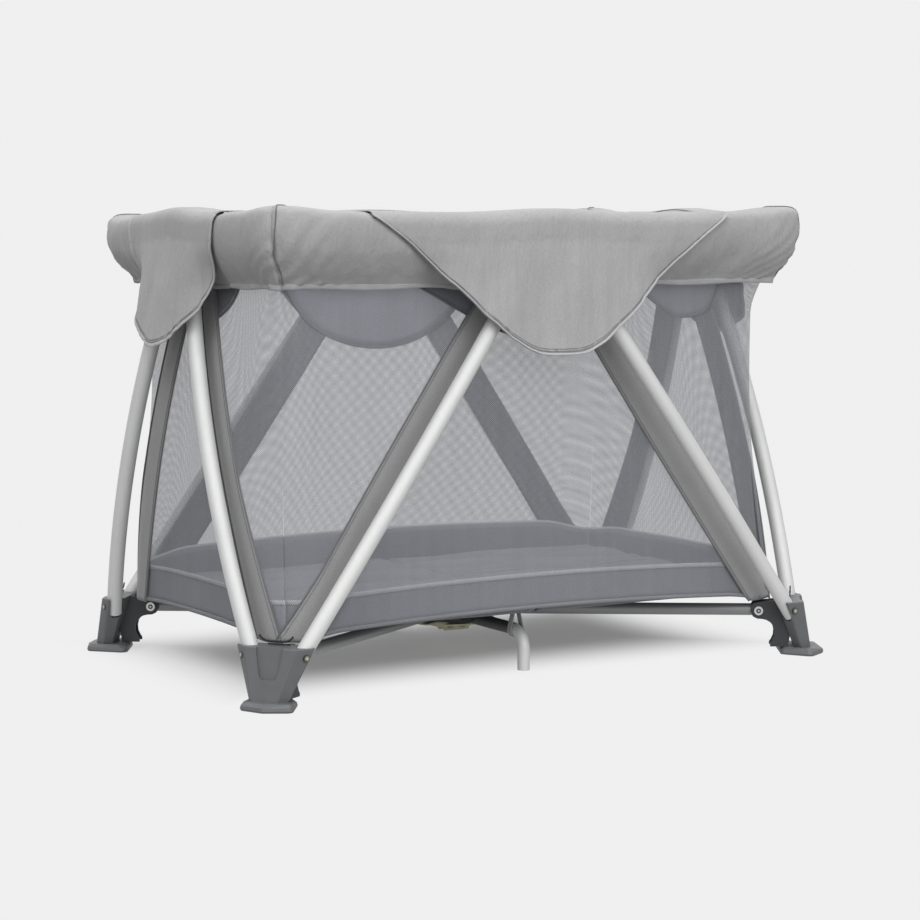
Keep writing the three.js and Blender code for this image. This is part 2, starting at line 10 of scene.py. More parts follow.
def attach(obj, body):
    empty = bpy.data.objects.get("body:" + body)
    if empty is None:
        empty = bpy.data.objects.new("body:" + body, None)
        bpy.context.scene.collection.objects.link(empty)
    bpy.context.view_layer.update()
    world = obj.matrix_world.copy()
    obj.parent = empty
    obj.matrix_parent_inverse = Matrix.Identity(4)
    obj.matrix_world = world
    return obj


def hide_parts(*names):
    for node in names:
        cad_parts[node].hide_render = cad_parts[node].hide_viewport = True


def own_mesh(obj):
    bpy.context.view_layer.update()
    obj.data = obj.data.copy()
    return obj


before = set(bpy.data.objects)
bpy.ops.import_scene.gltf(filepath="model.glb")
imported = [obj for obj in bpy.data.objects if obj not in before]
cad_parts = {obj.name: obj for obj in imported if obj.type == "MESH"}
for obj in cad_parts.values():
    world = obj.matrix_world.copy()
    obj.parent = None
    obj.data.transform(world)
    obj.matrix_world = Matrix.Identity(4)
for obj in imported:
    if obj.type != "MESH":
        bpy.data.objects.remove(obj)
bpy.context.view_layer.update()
SCENE = bpy.context.scene

CORNERS = (("fl", -1, -1), ("fr", 1, -1), ("rl", -1, 1), ("rr", 1, 1))
# side name, turn about Z, long side or not
SIDES = (("front", 0, True), ("right", 90, False), ("rear", 180, True), ("left", 270, False))

# ---- sizes shared with the CAD ----
LEG_R = 0.0125
RAIL_R = 0.010
TIP_Z = 0.690
LONG_FOOT = Vector((0.453, 0.331, 0.078))
LONG_TIP = Vector((0.020, 0.300, TIP_Z))
SHORT_FOOT = Vector((0.503, 0.268, 0.078))
SHORT_TIP = Vector((0.485, 0.020, TIP_Z))
LONG_BOW = 0.020
SHORT_BOW = 0.046
# how far a leg runs aside for each metre it goes down
LONG_LEAN = 0.69
SHORT_LEAN = 0.39
RAIL_Z = 0.073
RAIL_ANGLE = atan2(285, 443)
RAIL_HUB = 0.050
RAIL_FOOT = 0.512
WALL_EXTRA = 0.176
WALL_BOW = 0.022
RIM_EXTRA = 0.181
WALL_TOP = 0.655
HEM_Z = 0.092
BAND = {"front": 0.051, "left": 0.056, "right": 0.060, "rear": 0.063}
BAND_CORNER = 0.055
# the hem arches up between the corners
HEM_LONG = 0.098
HEM_CORNER = 0.0945
ARCH_LONG = 0.014
ARCH_SHORT = 0.006
STRIP_HALF = 0.0275
STRIP_LOW, STRIP_HIGH = 0.088, 0.645
PATCH_TOP = 0.652


# ---- node materials ----
class Nodes:
    """A small wrapper that adds and links the shader nodes of a material or world."""

    def __init__(self, owner, output="ShaderNodeOutputMaterial"):
        self.owner = owner
        owner.use_nodes = True
        self.tree = owner.node_tree
        self.tree.nodes.clear()
        self.out = self.tree.nodes.new(output)

    def add(self, kind, inputs=None, **props):
        node = self.tree.nodes.new(kind)
        for key, value in props.items():
            setattr(node, key, value)
        for key, value in (inputs or {}).items():
            if isinstance(value, bpy.types.NodeSocket):
                self.tree.links.new(value, node.inputs[key])
            else:
                node.inputs[key].default_value = value
        return node

    def math(self, operation, a, b=0.0, clamp=False):
        node = self.add("ShaderNodeMath", {0: a, 1: b}, operation=operation, use_clamp=clamp)
        return node.outputs[0]

    def mix(self, factor, a, b, blend="MIX"):
        node = self.add("ShaderNodeMix", {0: factor, 6: a, 7: b}, data_type="RGBA", blend_type=blend)
        return node.outputs[2]

    def noise(self, vector, scale, detail=2.0, rough=0.5):
        inputs = {"Vector": vector, "Scale": scale, "Detail": detail, "Roughness": rough}
        return self.add("ShaderNodeTexNoise", inputs).outputs[0]

    def spread(self, value, lo, hi, to_lo, to_hi, **props):
        """Maps value from lo..hi onto to_lo..to_hi."""
        inputs = {0: value, 1: lo, 2: hi, 3: to_lo, 4: to_hi}
        return self.add("ShaderNodeMapRange", inputs, **props).outputs[0]

    def tinted(self, color, tone):
        """The colour times a grey tone."""
        grey = self.add("ShaderNodeCombineColor", {0: tone, 1: tone, 2: tone}).outputs[0]
        return self.mix(1.0, color, grey, "MULTIPLY")

    def scaled(self, vector, scale, turn=0.0):
        node = self.add("ShaderNodeMapping", {0: vector, 2: (0, 0, turn), 3: scale})
        return node.outputs[0]

    def bump(self, height, strength, distance, normal=None):
        inputs = {"Height": height, "Strength": strength, "Distance": distance}
        if normal is not None:
            inputs["Normal"] = normal
        return self.add("ShaderNodeBump", inputs).outputs[0]

    def finish(self, shader):
        self.tree.links.new(shader, self.out.inputs[0])
        return self.owner


def material(name):
    return Nodes(bpy.data.materials.new(name))


def linear(grey, green=None, blue=None):
    """Linear colour from 0-255 display values."""
    rgb = (grey, grey if green is None else green, grey if blue is None else blue)
    return tuple((c / 255) ** 2.2 for c in rgb) + (1.0,)


def object_coords(m):
    return m.add("ShaderNodeTexCoord").outputs["Object"]


def uv_coords(m):
    return m.add("ShaderNodeTexCoord").outputs["UV"]


def weave_height(m, uv, pitch):
    """Plain weave: two crossed sets of threads."""
    parts = m.add("ShaderNodeSeparateXYZ", {0: m.scaled(uv, (1 / pitch, 1 / pitch, 1.0))})
    warp = m.math("SINE", m.math("MULTIPLY", parts.outputs[0], 2 * pi))
    weft = m.math("SINE", m.math("MULTIPLY", parts.outputs[1], 2 * pi))
    return m.math("MULTIPLY", warp, weft)


def woven(name, color, pitch=0.0011, bump=0.25, creased=0.35):
    """Dense woven polyester with a slight melange, fine creases and soft sheen."""
    m = material(name)
    uv = uv_coords(m)
    where = object_coords(m)
    weave = weave_height(m, uv, pitch)
    slub = m.noise(m.scaled(uv, (900, 220, 1)), 1.0, 2.0, 0.6)
    blotch = m.noise(where, 9.0, 3.0, 0.55)
    tone = m.spread(blotch, 0.3, 0.7, 0.95, 1.04)
    fibre = m.spread(slub, 0.25, 0.75, 0.86, 1.08)
    base = m.tinted(color, m.math("MULTIPLY", tone, fibre))
    crease = m.noise(m.scaled(where, (24, 24, 7)), 1.0, 4.0, 0.6)
    fine = m.bump(weave, bump, 0.0004)
    folded = m.bump(crease, creased, 0.008, fine)
    shader = m.add("ShaderNodeBsdfPrincipled", {
        "Base Color": base, "Roughness": 0.85, "Normal": folded, "Sheen Weight": 0.18, "Sheen Roughness": 0.5,
        "Specular IOR Level": 0.25})
    return m.finish(shader.outputs[0])


def netting(name, color, pitch=0.0024, hole=0.42):
    """See-through knitted mesh: round holes on a diagonal lattice between soft yarns."""
    m = material(name)
    uv = uv_coords(m)
    grid = m.scaled(uv, (1 / pitch, 1 / pitch, 1.0), radians(45))
    cells = m.add("ShaderNodeTexVoronoi", {"Vector": grid, "Scale": 1.0, "Randomness": 0.0},
                  voronoi_dimensions="2D", feature="F1")
    distance = cells.outputs["Distance"]
    open_part = m.spread(distance, hole - 0.10, hole + 0.10, 0.82, 0.10)
    streak = m.noise(m.scaled(uv, (60, 4, 1)), 1.0, 2.0, 0.5)
    base = m.tinted(color, m.spread(streak, 0.3, 0.7, 0.93, 1.05))
    bump = m.bump(distance, 0.4, 0.0006)
    yarn = m.add("ShaderNodeBsdfPrincipled", {
        "Base Color": base, "Roughness": 0.8, "Normal": bump, "Sheen Weight": 0.2, "Specular IOR Level": 0.3})
    through = m.add("ShaderNodeBsdfTranslucent", {"Color": base})
    cloth = m.add("ShaderNodeMixShader", {0: 0.35, 1: yarn.outputs[0], 2: through.outputs[0]})
    clear = m.add("ShaderNodeBsdfTransparent")
    shader = m.add("ShaderNodeMixShader", {0: open_part, 1: cloth.outputs[0], 2: clear.outputs[0]})
    return m.finish(shader.outputs[0])


def moulded(name, color, rough=0.52, grain=1800.0, bump=0.12):
    """Moulded plastic with a fine spark-eroded grain and slight handling marks."""
    m = material(name)
    where = object_coords(m)
    grains = m.noise(where, grain, 2.0, 0.6)
    marks = m.noise(where, 38.0, 4.0, 0.6)
    tone = m.spread(marks, 0.3, 0.7, 0.93, 1.06)
    worn = m.spread(marks, 0.3, 0.7, rough - 0.05, rough + 0.08)
    shader = m.add("ShaderNodeBsdfPrincipled", {
        "Base Color": m.tinted(color, tone), "Roughness": worn,
        "Normal": m.bump(grains, bump, 0.0003), "Specular IOR Level": 0.45})
    return m.finish(shader.outputs[0])


def metal(name, color, rough=0.34, metallic=0.7, streaks=0.05, along=(300, 300, 4)):
    """Anodised or plated tube with fine drawn streaks along it."""
    m = material(name)
    where = object_coords(m)
    lines = m.noise(m.scaled(where, along), 1.0, 3.0, 0.6)
    worn = m.spread(lines, 0.3, 0.7, rough - streaks, rough + streaks)
    tone = m.spread(m.noise(where, 14.0, 3.0, 0.5), 0.3, 0.7, 0.97, 1.02)
    shader = m.add("ShaderNodeBsdfPrincipled", {
        "Base Color": m.tinted(color, tone), "Roughness": worn, "Metallic": metallic,
        "Normal": m.bump(lines, 0.05, 0.0002)})
    return m.finish(shader.outputs[0])


RIM_FABRIC = woven("rim_fabric_woven", linear(154, 154, 154), creased=0.9)
STRIP_FABRIC = woven("strip_fabric_woven", linear(142, 142, 143))
PATCH_FABRIC = woven("patch_fabric_woven", linear(142, 143, 151))
BAND_FABRIC = woven("band_fabric_woven", linear(138, 139, 146))
TAPE_FABRIC = woven("binding_tape", linear(168, 168, 170), pitch=0.0016, bump=0.5)
HEM_FABRIC = woven("hem_tape_woven", linear(138, 139, 144), pitch=0.0024, bump=0.8)
BAND_TAPE = woven("band_tape_woven", linear(206, 207, 210), pitch=0.0016, bump=0.5)
PIPING = woven("piping_dark", linear(104, 104, 106), pitch=0.0016, bump=0.5)
QUILT_FABRIC = woven("quilt_fabric_woven", linear(124, 126, 133), pitch=0.0014)
FLOOR_FABRIC = woven("floor_fabric_woven", linear(96, 98, 104), pitch=0.0016)
WEBBING = woven("webbing_grey", linear(170, 171, 172), pitch=0.0022, bump=0.9)
BLACK_WEBBING = woven("webbing_black", linear(38, 38, 40), pitch=0.0022, bump=0.9)
NETTING = netting("wall_netting", linear(150, 152, 158))
TUBE = metal("satin_tube_anodised", linear(196, 197, 196), 0.66, 0.4)
# painted shade: the rails get a darker grey than the leg tubes, which stands for the shadow under the
# mattress
RAIL = metal("rail_grey_painted_shade", linear(128, 129, 130), 0.42, 0.4)
# painted shade: a darker tube material for the support legs' inner run in the shadow under the mattress
SHADED_TUBE = metal("tube_painted_shade", linear(74, 75, 76), 0.5, 0.3)
DULL = metal("dull_plated", linear(128, 126, 108), 0.4, 0.5)
BRIGHT = metal("bright_plated", linear(190, 190, 192), 0.32, 0.8)
KHAKI = metal("khaki_plated", linear(158, 156, 128), 0.4, 0.35)
SHELL = moulded("foot_moulded", linear(92, 93, 95))
BLACK = moulded("black_moulded", linear(48, 49, 52), 0.48)


# ---- mesh helpers ----
def mesh_object(name, verts, faces, mat, uvs=None, smooth=True):
    mesh = bpy.data.meshes.new(name)
    mesh.from_pydata([tuple(v) for v in verts], [], faces)
    if uvs is not None:
        layer = mesh.uv_layers.new(name="UVMap")
        for loop in mesh.loops:
            layer.data[loop.index].uv = uvs[loop.vertex_index]
    mesh.polygons.foreach_set("use_smooth", [smooth] * len(mesh.polygons))
    mesh.materials.append(mat)
    mesh.update()
    obj = bpy.data.objects.new(name, mesh)
    SCENE.collection.objects.link(obj)
    return obj


def grid(name, point, nu, nv, mat, uv, thick=0.0):
    """A sheet of nu by nv quads through point(i / nu, j / nv); uv gives its cloth coordinates in metres."""
    verts, uvs, faces = [], [], []
    for j in range(nv + 1):
        for i in range(nu + 1):
            u, v = i / nu, j / nv
            verts.append(Vector(point(u, v)))
            uvs.append(uv(u, v))
    for j in range(nv):
        for i in range(nu):
            a = j * (nu + 1) + i
            faces.append((a, a + 1, a + nu + 2, a + nu + 1))
    obj = mesh_object(name, verts, faces, mat, uvs)
    if thick:
        mod = obj.modifiers.new("thickness", "SOLIDIFY")
        mod.thickness = thick
        mod.offset = 0.0
        bake(obj)
    return obj


def bake(obj):
    """Applies the modifiers to the mesh."""
    bpy.context.view_layer.update()
    deps = bpy.context.evaluated_depsgraph_get()
    ready = obj.evaluated_get(deps)
    mesh = bpy.data.meshes.new_from_object(ready, preserve_all_data_layers=True, depsgraph=deps)
    obj.modifiers.clear()
    old = obj.data
    obj.data = mesh
    bpy.data.meshes.remove(old)
    return obj


def frames_along(points):
    """Parallel-transported side vectors along a line of points."""
    tangents = []
    for k in range(len(points)):
        a = points[max(k - 1, 0)]
        b = points[min(k + 1, len(points) - 1)]
        tangents.append((b - a).normalized())
    side = tangents[0].cross(Vector((0, 0, 1)))
    if side.length < 1e-4:
        side = Vector((1, 0, 0))
    side.normalize()
    sides = [side]
    for k in range(1, len(points)):
        turn = tangents[k - 1].rotation_difference(tangents[k])
        side = turn @ sides[-1]
        sides.append((side - side.dot(tangents[k]) * tangents[k]).normalized())
    return tangents, sides


def ring_faces(count, rings):
    """The sides and both ends of a solid made of rings of count vertices."""
    faces = []
    for k in range(rings - 1):
        for s in range(count):
            a, b = k * count + s, k * count + (s + 1) % count
            faces.append((a, b, b + count, a + count))
    last = (rings - 1) * count
    return faces + [tuple(reversed(range(count))), tuple(range(last, last + count))]


def sweep(name, points, ring, mat, smooth=True):
    """A rod along points; ring(p, side, up) gives a section's (vertex, place round it) pairs."""
    points = [Vector(p) for p in points]
    tangents, sides = frames_along(points)
    verts, uvs = [], []
    run = 0.0
    for k, p in enumerate(points):
        if k:
            run += (p - points[k - 1]).length
        section = ring(p, sides[k], tangents[k].cross(sides[k]))
        for vertex, place in section:
            verts.append(vertex)
            uvs.append((run, place))
    return mesh_object(name, verts, ring_faces(len(section), len(points)), mat, uvs, smooth)


def pipe(name, points, radius, mat, segments=24, flat=None):
    """A round (or with flat, an elliptical) rod along points."""
    height = radius if flat is None else flat

    def ring(p, side, up):
        pairs = []
        for s in range(segments):
            a = 2 * pi * s / segments
            pairs.append((p + side * cos(a) * radius + up * sin(a) * height, radius * a))
        return pairs

    obj = sweep(name, points, ring, mat)
    obj.data.set_sharp_from_angle(angle=radians(50))
    return obj


def join(objs, name):
    """One object from several, keeping each one's material."""
    bm = bmesh.new()
    mats = []
    for obj in objs:
        start = len(bm.faces)
        mesh = obj.data.copy()
        mesh.transform(obj.matrix_world)
        bm.from_mesh(mesh)
        bm.faces.ensure_lookup_table()
        for face in bm.faces[start:]:
            mat = mesh.materials[face.material_index]
            if mat not in mats:
                mats.append(mat)
            face.material_index = mats.index(mat)
        bpy.data.meshes.remove(mesh)
    merged = bpy.data.meshes.new(name)
    bm.to_mesh(merged)
    bm.free()
    for mat in mats:
        merged.materials.append(mat)
    for obj in objs:
        bpy.data.objects.remove(obj)
    out = bpy.data.objects.new(name, merged)
    SCENE.collection.objects.link(out)
    return out


def around(a, b, r, s):
    """A point on a rounded rectangle at arc distance s from mid-side, with its outward normal."""
    straight = a - r
    reach = min(abs(s), straight + r * pi / 2)
    sign = -1 if s < 0 else 1
    if reach <= straight:
        return sign * reach, b, 0.0, 1.0
    turn = (reach - straight) / r
    x = sign * (straight + r * sin(turn))
    return x, b - r + r * cos(turn), sign * sin(turn), cos(turn)


def turn_side(along, out, z, degrees):
    """The point along and out from the front side's middle, turned about Z onto another side."""
    a = radians(degrees)
    x, y = along, -out
    return Vector((x * cos(a) - y * sin(a), x * sin(a) + y * cos(a), z))


def smooth(x, lo, hi):
    """0 at lo, 1 at hi, eased; lo may be above hi."""
    t = min(1.0, max(0.0, (x - lo) / (hi - lo)))
    return t * t * (3 - 2 * t)


def fbm(x, y, z, seed):
    """Fractal noise, the same each run."""
    return noise.fractal(Vector((x + seed, y - seed, z + 0.37 * seed)), 1.0, 2.0, 3)


# ---- the enclosure's surface ----
def up_wall(z):
    """0 at the hem and 1 at the wall's top."""
    return (z - HEM_Z) / (WALL_TOP - HEM_Z)


def wall_shape(z):
    """How far out a wall stands at height z, and its corner radius."""
    h = up_wall(z)
    n = 0.286 - 0.022 * h - 0.008 * sin(pi * max(0.0, min(1.0, h)))
    r = 0.050 + 0.040 * sin(pi * max(0.0, min(1.0, h))) + 0.010 * h
    return n, r


def wall_extra(z):
    """How much longer the long sides are: the ends bow out after the short legs."""
    return WALL_EXTRA + WALL_BOW * sin(pi * 0.85 * min(1.0, max(0.0, up_wall(z))))


def wall_total(long_side, z):
    """The arc distance from mid-side to the corner's middle."""
    n, r = wall_shape(z)
    a = n + wall_extra(z) if long_side else n
    return a - r + r * pi / 4


def wall_point(side, s, z, off=0.0):
    """A point on a wall at arc distance s from mid-side and height z, off metres outwards."""
    _, degrees, long_side = side
    n, r = wall_shape(z)
    extra = wall_extra(z)
    a, b = (n + extra, n) if long_side else (n, n + extra)
    x, out, nx, ny = around(a, b, r, s)
    # the cloth stands out along the legs, and its top corners spread into the rim
    reach = (abs(s) - leg_line(long_side, z)) / 0.055
    swell = (0.005 if long_side else 0.019) * exp(-reach * reach)
    off += swell * sin(pi * (0.12 + 0.72 * up_wall(z)))
    off += 0.024 * smooth(z, 0.57, WALL_TOP) * at_corner(s / wall_total(long_side, z))
    return turn_side(x + nx * off, out + ny * off, z, degrees)


def at_corner(t):
    """0 over most of a side, and 1 at its ends, t -1 and 1."""
    return smooth(abs(t), 0.80, 1.0)


def hem_height(long_side, t):
    arch = 1 - t * t
    level = HEM_LONG + ARCH_LONG * arch if long_side else HEM_Z + ARCH_SHORT * arch
    return level + (HEM_CORNER - level) * at_corner(t)


def leg_line(long_side, z):
    """How far from mid-side a leg's strip runs at height z."""
    return 0.020 + (TIP_Z - z) * LONG_LEAN if long_side else 0.008 + (TIP_Z - z) * SHORT_LEAN


SOFT = []


def soft(obj, side_name):
    """Rides a soft piece on its mid-side hub."""
    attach(obj, f"side_hub_{side_name}_body")
    SOFT.append((obj, side_name))


def gather_all():
    for obj, name in SOFT:
        if name in ("front", "rear"):
            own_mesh(obj)
        else:
            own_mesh(obj)


for side in SIDES:
    name, degrees, long_side = side
    seed = degrees * 0.11

    def wall_at(u, v):
        """-1 to 1 along the side, and the height."""
        t = 2 * u - 1
        z0 = hem_height(long_side, t)
        return t, z0 + (WALL_TOP - z0) * v

    def wall(u, v):
        t, z = wall_at(u, v)
        s = t * wall_total(long_side, z)
        slack = 0.0022 * fbm(s * 5, z * 3, 0, seed) * sin(pi * v) * (1 - t ** 4)
        return wall_point(side, s, z, slack)

    def wall_uv(u, v):
        t, z = wall_at(u, v)
        return t * wall_total(long_side, 0.4), z

    net = grid(f"wall_net_{name}", wall, 96 if long_side else 64, 40, NETTING, wall_uv)
    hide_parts(f"wall_{name}")
    soft(net, name)

    # strips that run with each leg tube, from the bottom corner to under the rim
    bits = []
    for sign in (-1, 1):
        def centre(z):
            return sign * leg_line(long_side, z)

        def strip(u, v, off=0.0016):
            z = STRIP_LOW + (STRIP_HIGH - STRIP_LOW) * v
            reach = STRIP_HALF / cos(atan(LONG_LEAN if long_side else SHORT_LEAN))
            lo = abs(centre(z)) - reach
            corner = wall_total(long_side, z)
            hi = min(abs(centre(z)) + reach, corner + (0.013 if long_side else -0.0005))
            t = abs(centre(z)) / corner
            zz = max(z, hem_height(long_side, min(1.0, t)) - 0.004)
            s = lo + (hi - lo) * u
            return wall_point(side, sign * s, zz, off + 0.0045 * smooth(s, corner - 0.006, corner + 0.006))

        def strip_uv(u, v):
            return STRIP_HALF * 2 * u, 0.7 * v

        bits.append(grid("strip", strip, 8, 60, STRIP_FABRIC, strip_uv, thick=0.0014))
        for edge in (0.0, 1.0):
            line = [strip(edge, k / 60, 0.0030) for k in range(61)]
            bits.append(pipe("seam", line, 0.0013, PIPING, 8))
            stitch = [strip(edge + (0.09 if edge == 0 else -0.09), k / 60, 0.0026) for k in range(61)]
            bits.append(pipe("stitch", stitch, 0.0005, PIPING, 6))
    strips = join(bits, f"wall_strips_{name}")
    soft(strips, name)

    # patch under the rim: a shallow bell at the front, half-round on the other sides
    wide = {"front": 0.235, "rear": 0.190}.get(name, 0.132)
    deep = {"front": 0.135, "rear": 0.152}.get(name, 0.098)

    def patch(u, v, off=-0.0014):
        if name == "front":
            x = 0.315 * (1 - 2 * u)
            drop = 0.112 * (0.5 + 0.5 * cos(pi * x / 0.325))
            return wall_point(side, x, PATCH_TOP - drop * v, off)
        angle = pi * u
        x = wide * cos(angle) * v
        z = PATCH_TOP - deep * sin(angle) * v
        return wall_point(side, x, z, off)

    def patch_uv(u, v):
        return wide * cos(pi * u) * v, deep * sin(pi * u) * v

    bits = [grid("patch", patch, 48, 10, PATCH_FABRIC, patch_uv, thick=0.001)]
    for inset, radius, mat in ((1.0, 0.0022, PIPING), (0.965, 0.0009, TAPE_FABRIC), (0.93, 0.0009, PIPING)):
        edge = [patch(k / 48, inset, -0.0010) for k in range(49)]
        bits.append(pipe("patch_piping", edge, radius, mat, 8))
    patches = join(bits, f"wall_patch_{name}")
    soft(patches, name)

    # opaque lower band inside the net, its top tape, and the hem tape
    def band_tall(t):
        return BAND[name] + (BAND_CORNER - BAND[name]) * at_corner(t)

    def band(u, v):
        t = 2 * u - 1
        z = hem_height(long_side, t) + 0.002 + (band_tall(t) - 0.002) * v
        return wall_point(side, t * wall_total(long_side, z), z, -0.0035)

    def band_uv(u, v):
        return (2 * u - 1) * wall_total(long_side, 0.12), 0.055 * v

    def top_tape(u, v):
        t = 2 * u - 1
        z = hem_height(long_side, t) + band_tall(t) - 0.003 + 0.007 * v
        return wall_point(side, t * wall_total(long_side, z), z, -0.0018)

    def hem_tape(u, v):
        t = 2 * u - 1
        z = hem_height(long_side, t) - 0.002 + 0.006 * v
        return wall_point(side, t * wall_total(long_side, max(z, HEM_Z)), z, 0.0012)

    nu = 72 if long_side else 48
    bits = [
        grid("band", band, nu, 6, BAND_FABRIC, band_uv, thick=0.001),
        grid("top_tape", top_tape, nu, 2, BAND_TAPE, band_uv, thick=0.0012),
        grid("hem_tape", hem_tape, nu, 2, HEM_FABRIC, band_uv, thick=0.0022),
    ]
    bands = join(bits, f"wall_band_{name}")
    soft(bands, name)

# ---- padded rim and its flaps ----
RIM_OUT = 0.322
# flap outlines from the tip up one side: distance from mid-side and height
LONG_FLAP = ((0.0, 0.518), (0.040, 0.522), (0.085, 0.545), (0.125, 0.578), (0.170, 0.620), (0.215, 0.658),
             (0.262, 0.696), (0.300, 0.722), (0.325, 0.738))
SHORT_FLAP = ((0.0, 0.529), (0.024, 0.533), (0.052, 0.546), (0.082, 0.568), (0.110, 0.594), (0.130, 0.628),
              (0.144, 0.668), (0.153, 0.702), (0.159, 0.738))
RIM_SECTION = (
    (0.268, 0.634), (0.256, 0.648), (0.2495, 0.675), (0.2475, 0.700), (0.250, 0.722), (0.259, 0.7345),
    (0.272, 0.7405), (0.288, 0.7412), (0.303, 0.7410), (0.3155, 0.7385), (0.3228, 0.7305), (0.3240, 0.710),
    (0.319, 0.685), (0.311, 0.667), (0.300, 0.650), (0.288, 0.636), (0.281, 0.627),
)


def curve_through(points, t):
    """Catmull-Rom through the points, t from 0 to 1."""
    count = len(points) - 1
    k = min(int(t * count), count - 1)
    f = t * count - k
    p0 = points[max(k - 1, 0)]
    p1, p2 = points[k], points[k + 1]
    p3 = points[min(k + 2, count)]
    out = []
    for a, b, c, d in zip(p0, p1, p2, p3):
        square = (2 * a - 5 * b + 4 * c - d) * f * f
        cube = (3 * b - a - 3 * c + d) * f ** 3
        out.append(0.5 * (2 * b + (c - a) * f + square + cube))
    return out


def flap_half(long_side, z):
    """The flap's half-width at height z, negative below its tip."""
    outline = LONG_FLAP if long_side else SHORT_FLAP
    if z <= outline[0][1]:
        return -0.05
    for (x0, z0), (x1, z1) in zip(outline, outline[1:]):
        if z <= z1:
            return x0 + (x1 - x0) * (z - z0) / (z1 - z0)
    return outline[-1][0]


def rim_sag(side, t):
    """The rim hangs a little between the corner joints, and most at the rear left corner."""
    name, _, long_side = side
    slack = (0.0085 if long_side else 0.0065) * (1 - min(1.0, abs(t)) ** 2.5)
    slack -= 0.0070 * exp(-(t / 0.22) ** 2)
    if name == "left":
        slack += 0.013 * smooth(-t, 0.15, 1.0)
    if name == "rear":
        slack += 0.013 * smooth(t, 0.3, 1.0)
    return slack


def rim_place(side, x_share, n, z):
    """A point of the rim: x_share from -1 to 1 along the side, n metres out at height z."""
    _, degrees, long_side = side
    r = max(0.010, 0.072 + (n - RIM_OUT))
    a, b = (n + RIM_EXTRA, n) if long_side else (n, n + RIM_EXTRA)
    total = a - r + r * pi / 4
    x, out, nx, ny = around(a, b, r, x_share * total)
    return turn_side(x, out, z, degrees), turn_side(nx, ny, 0.0, degrees)


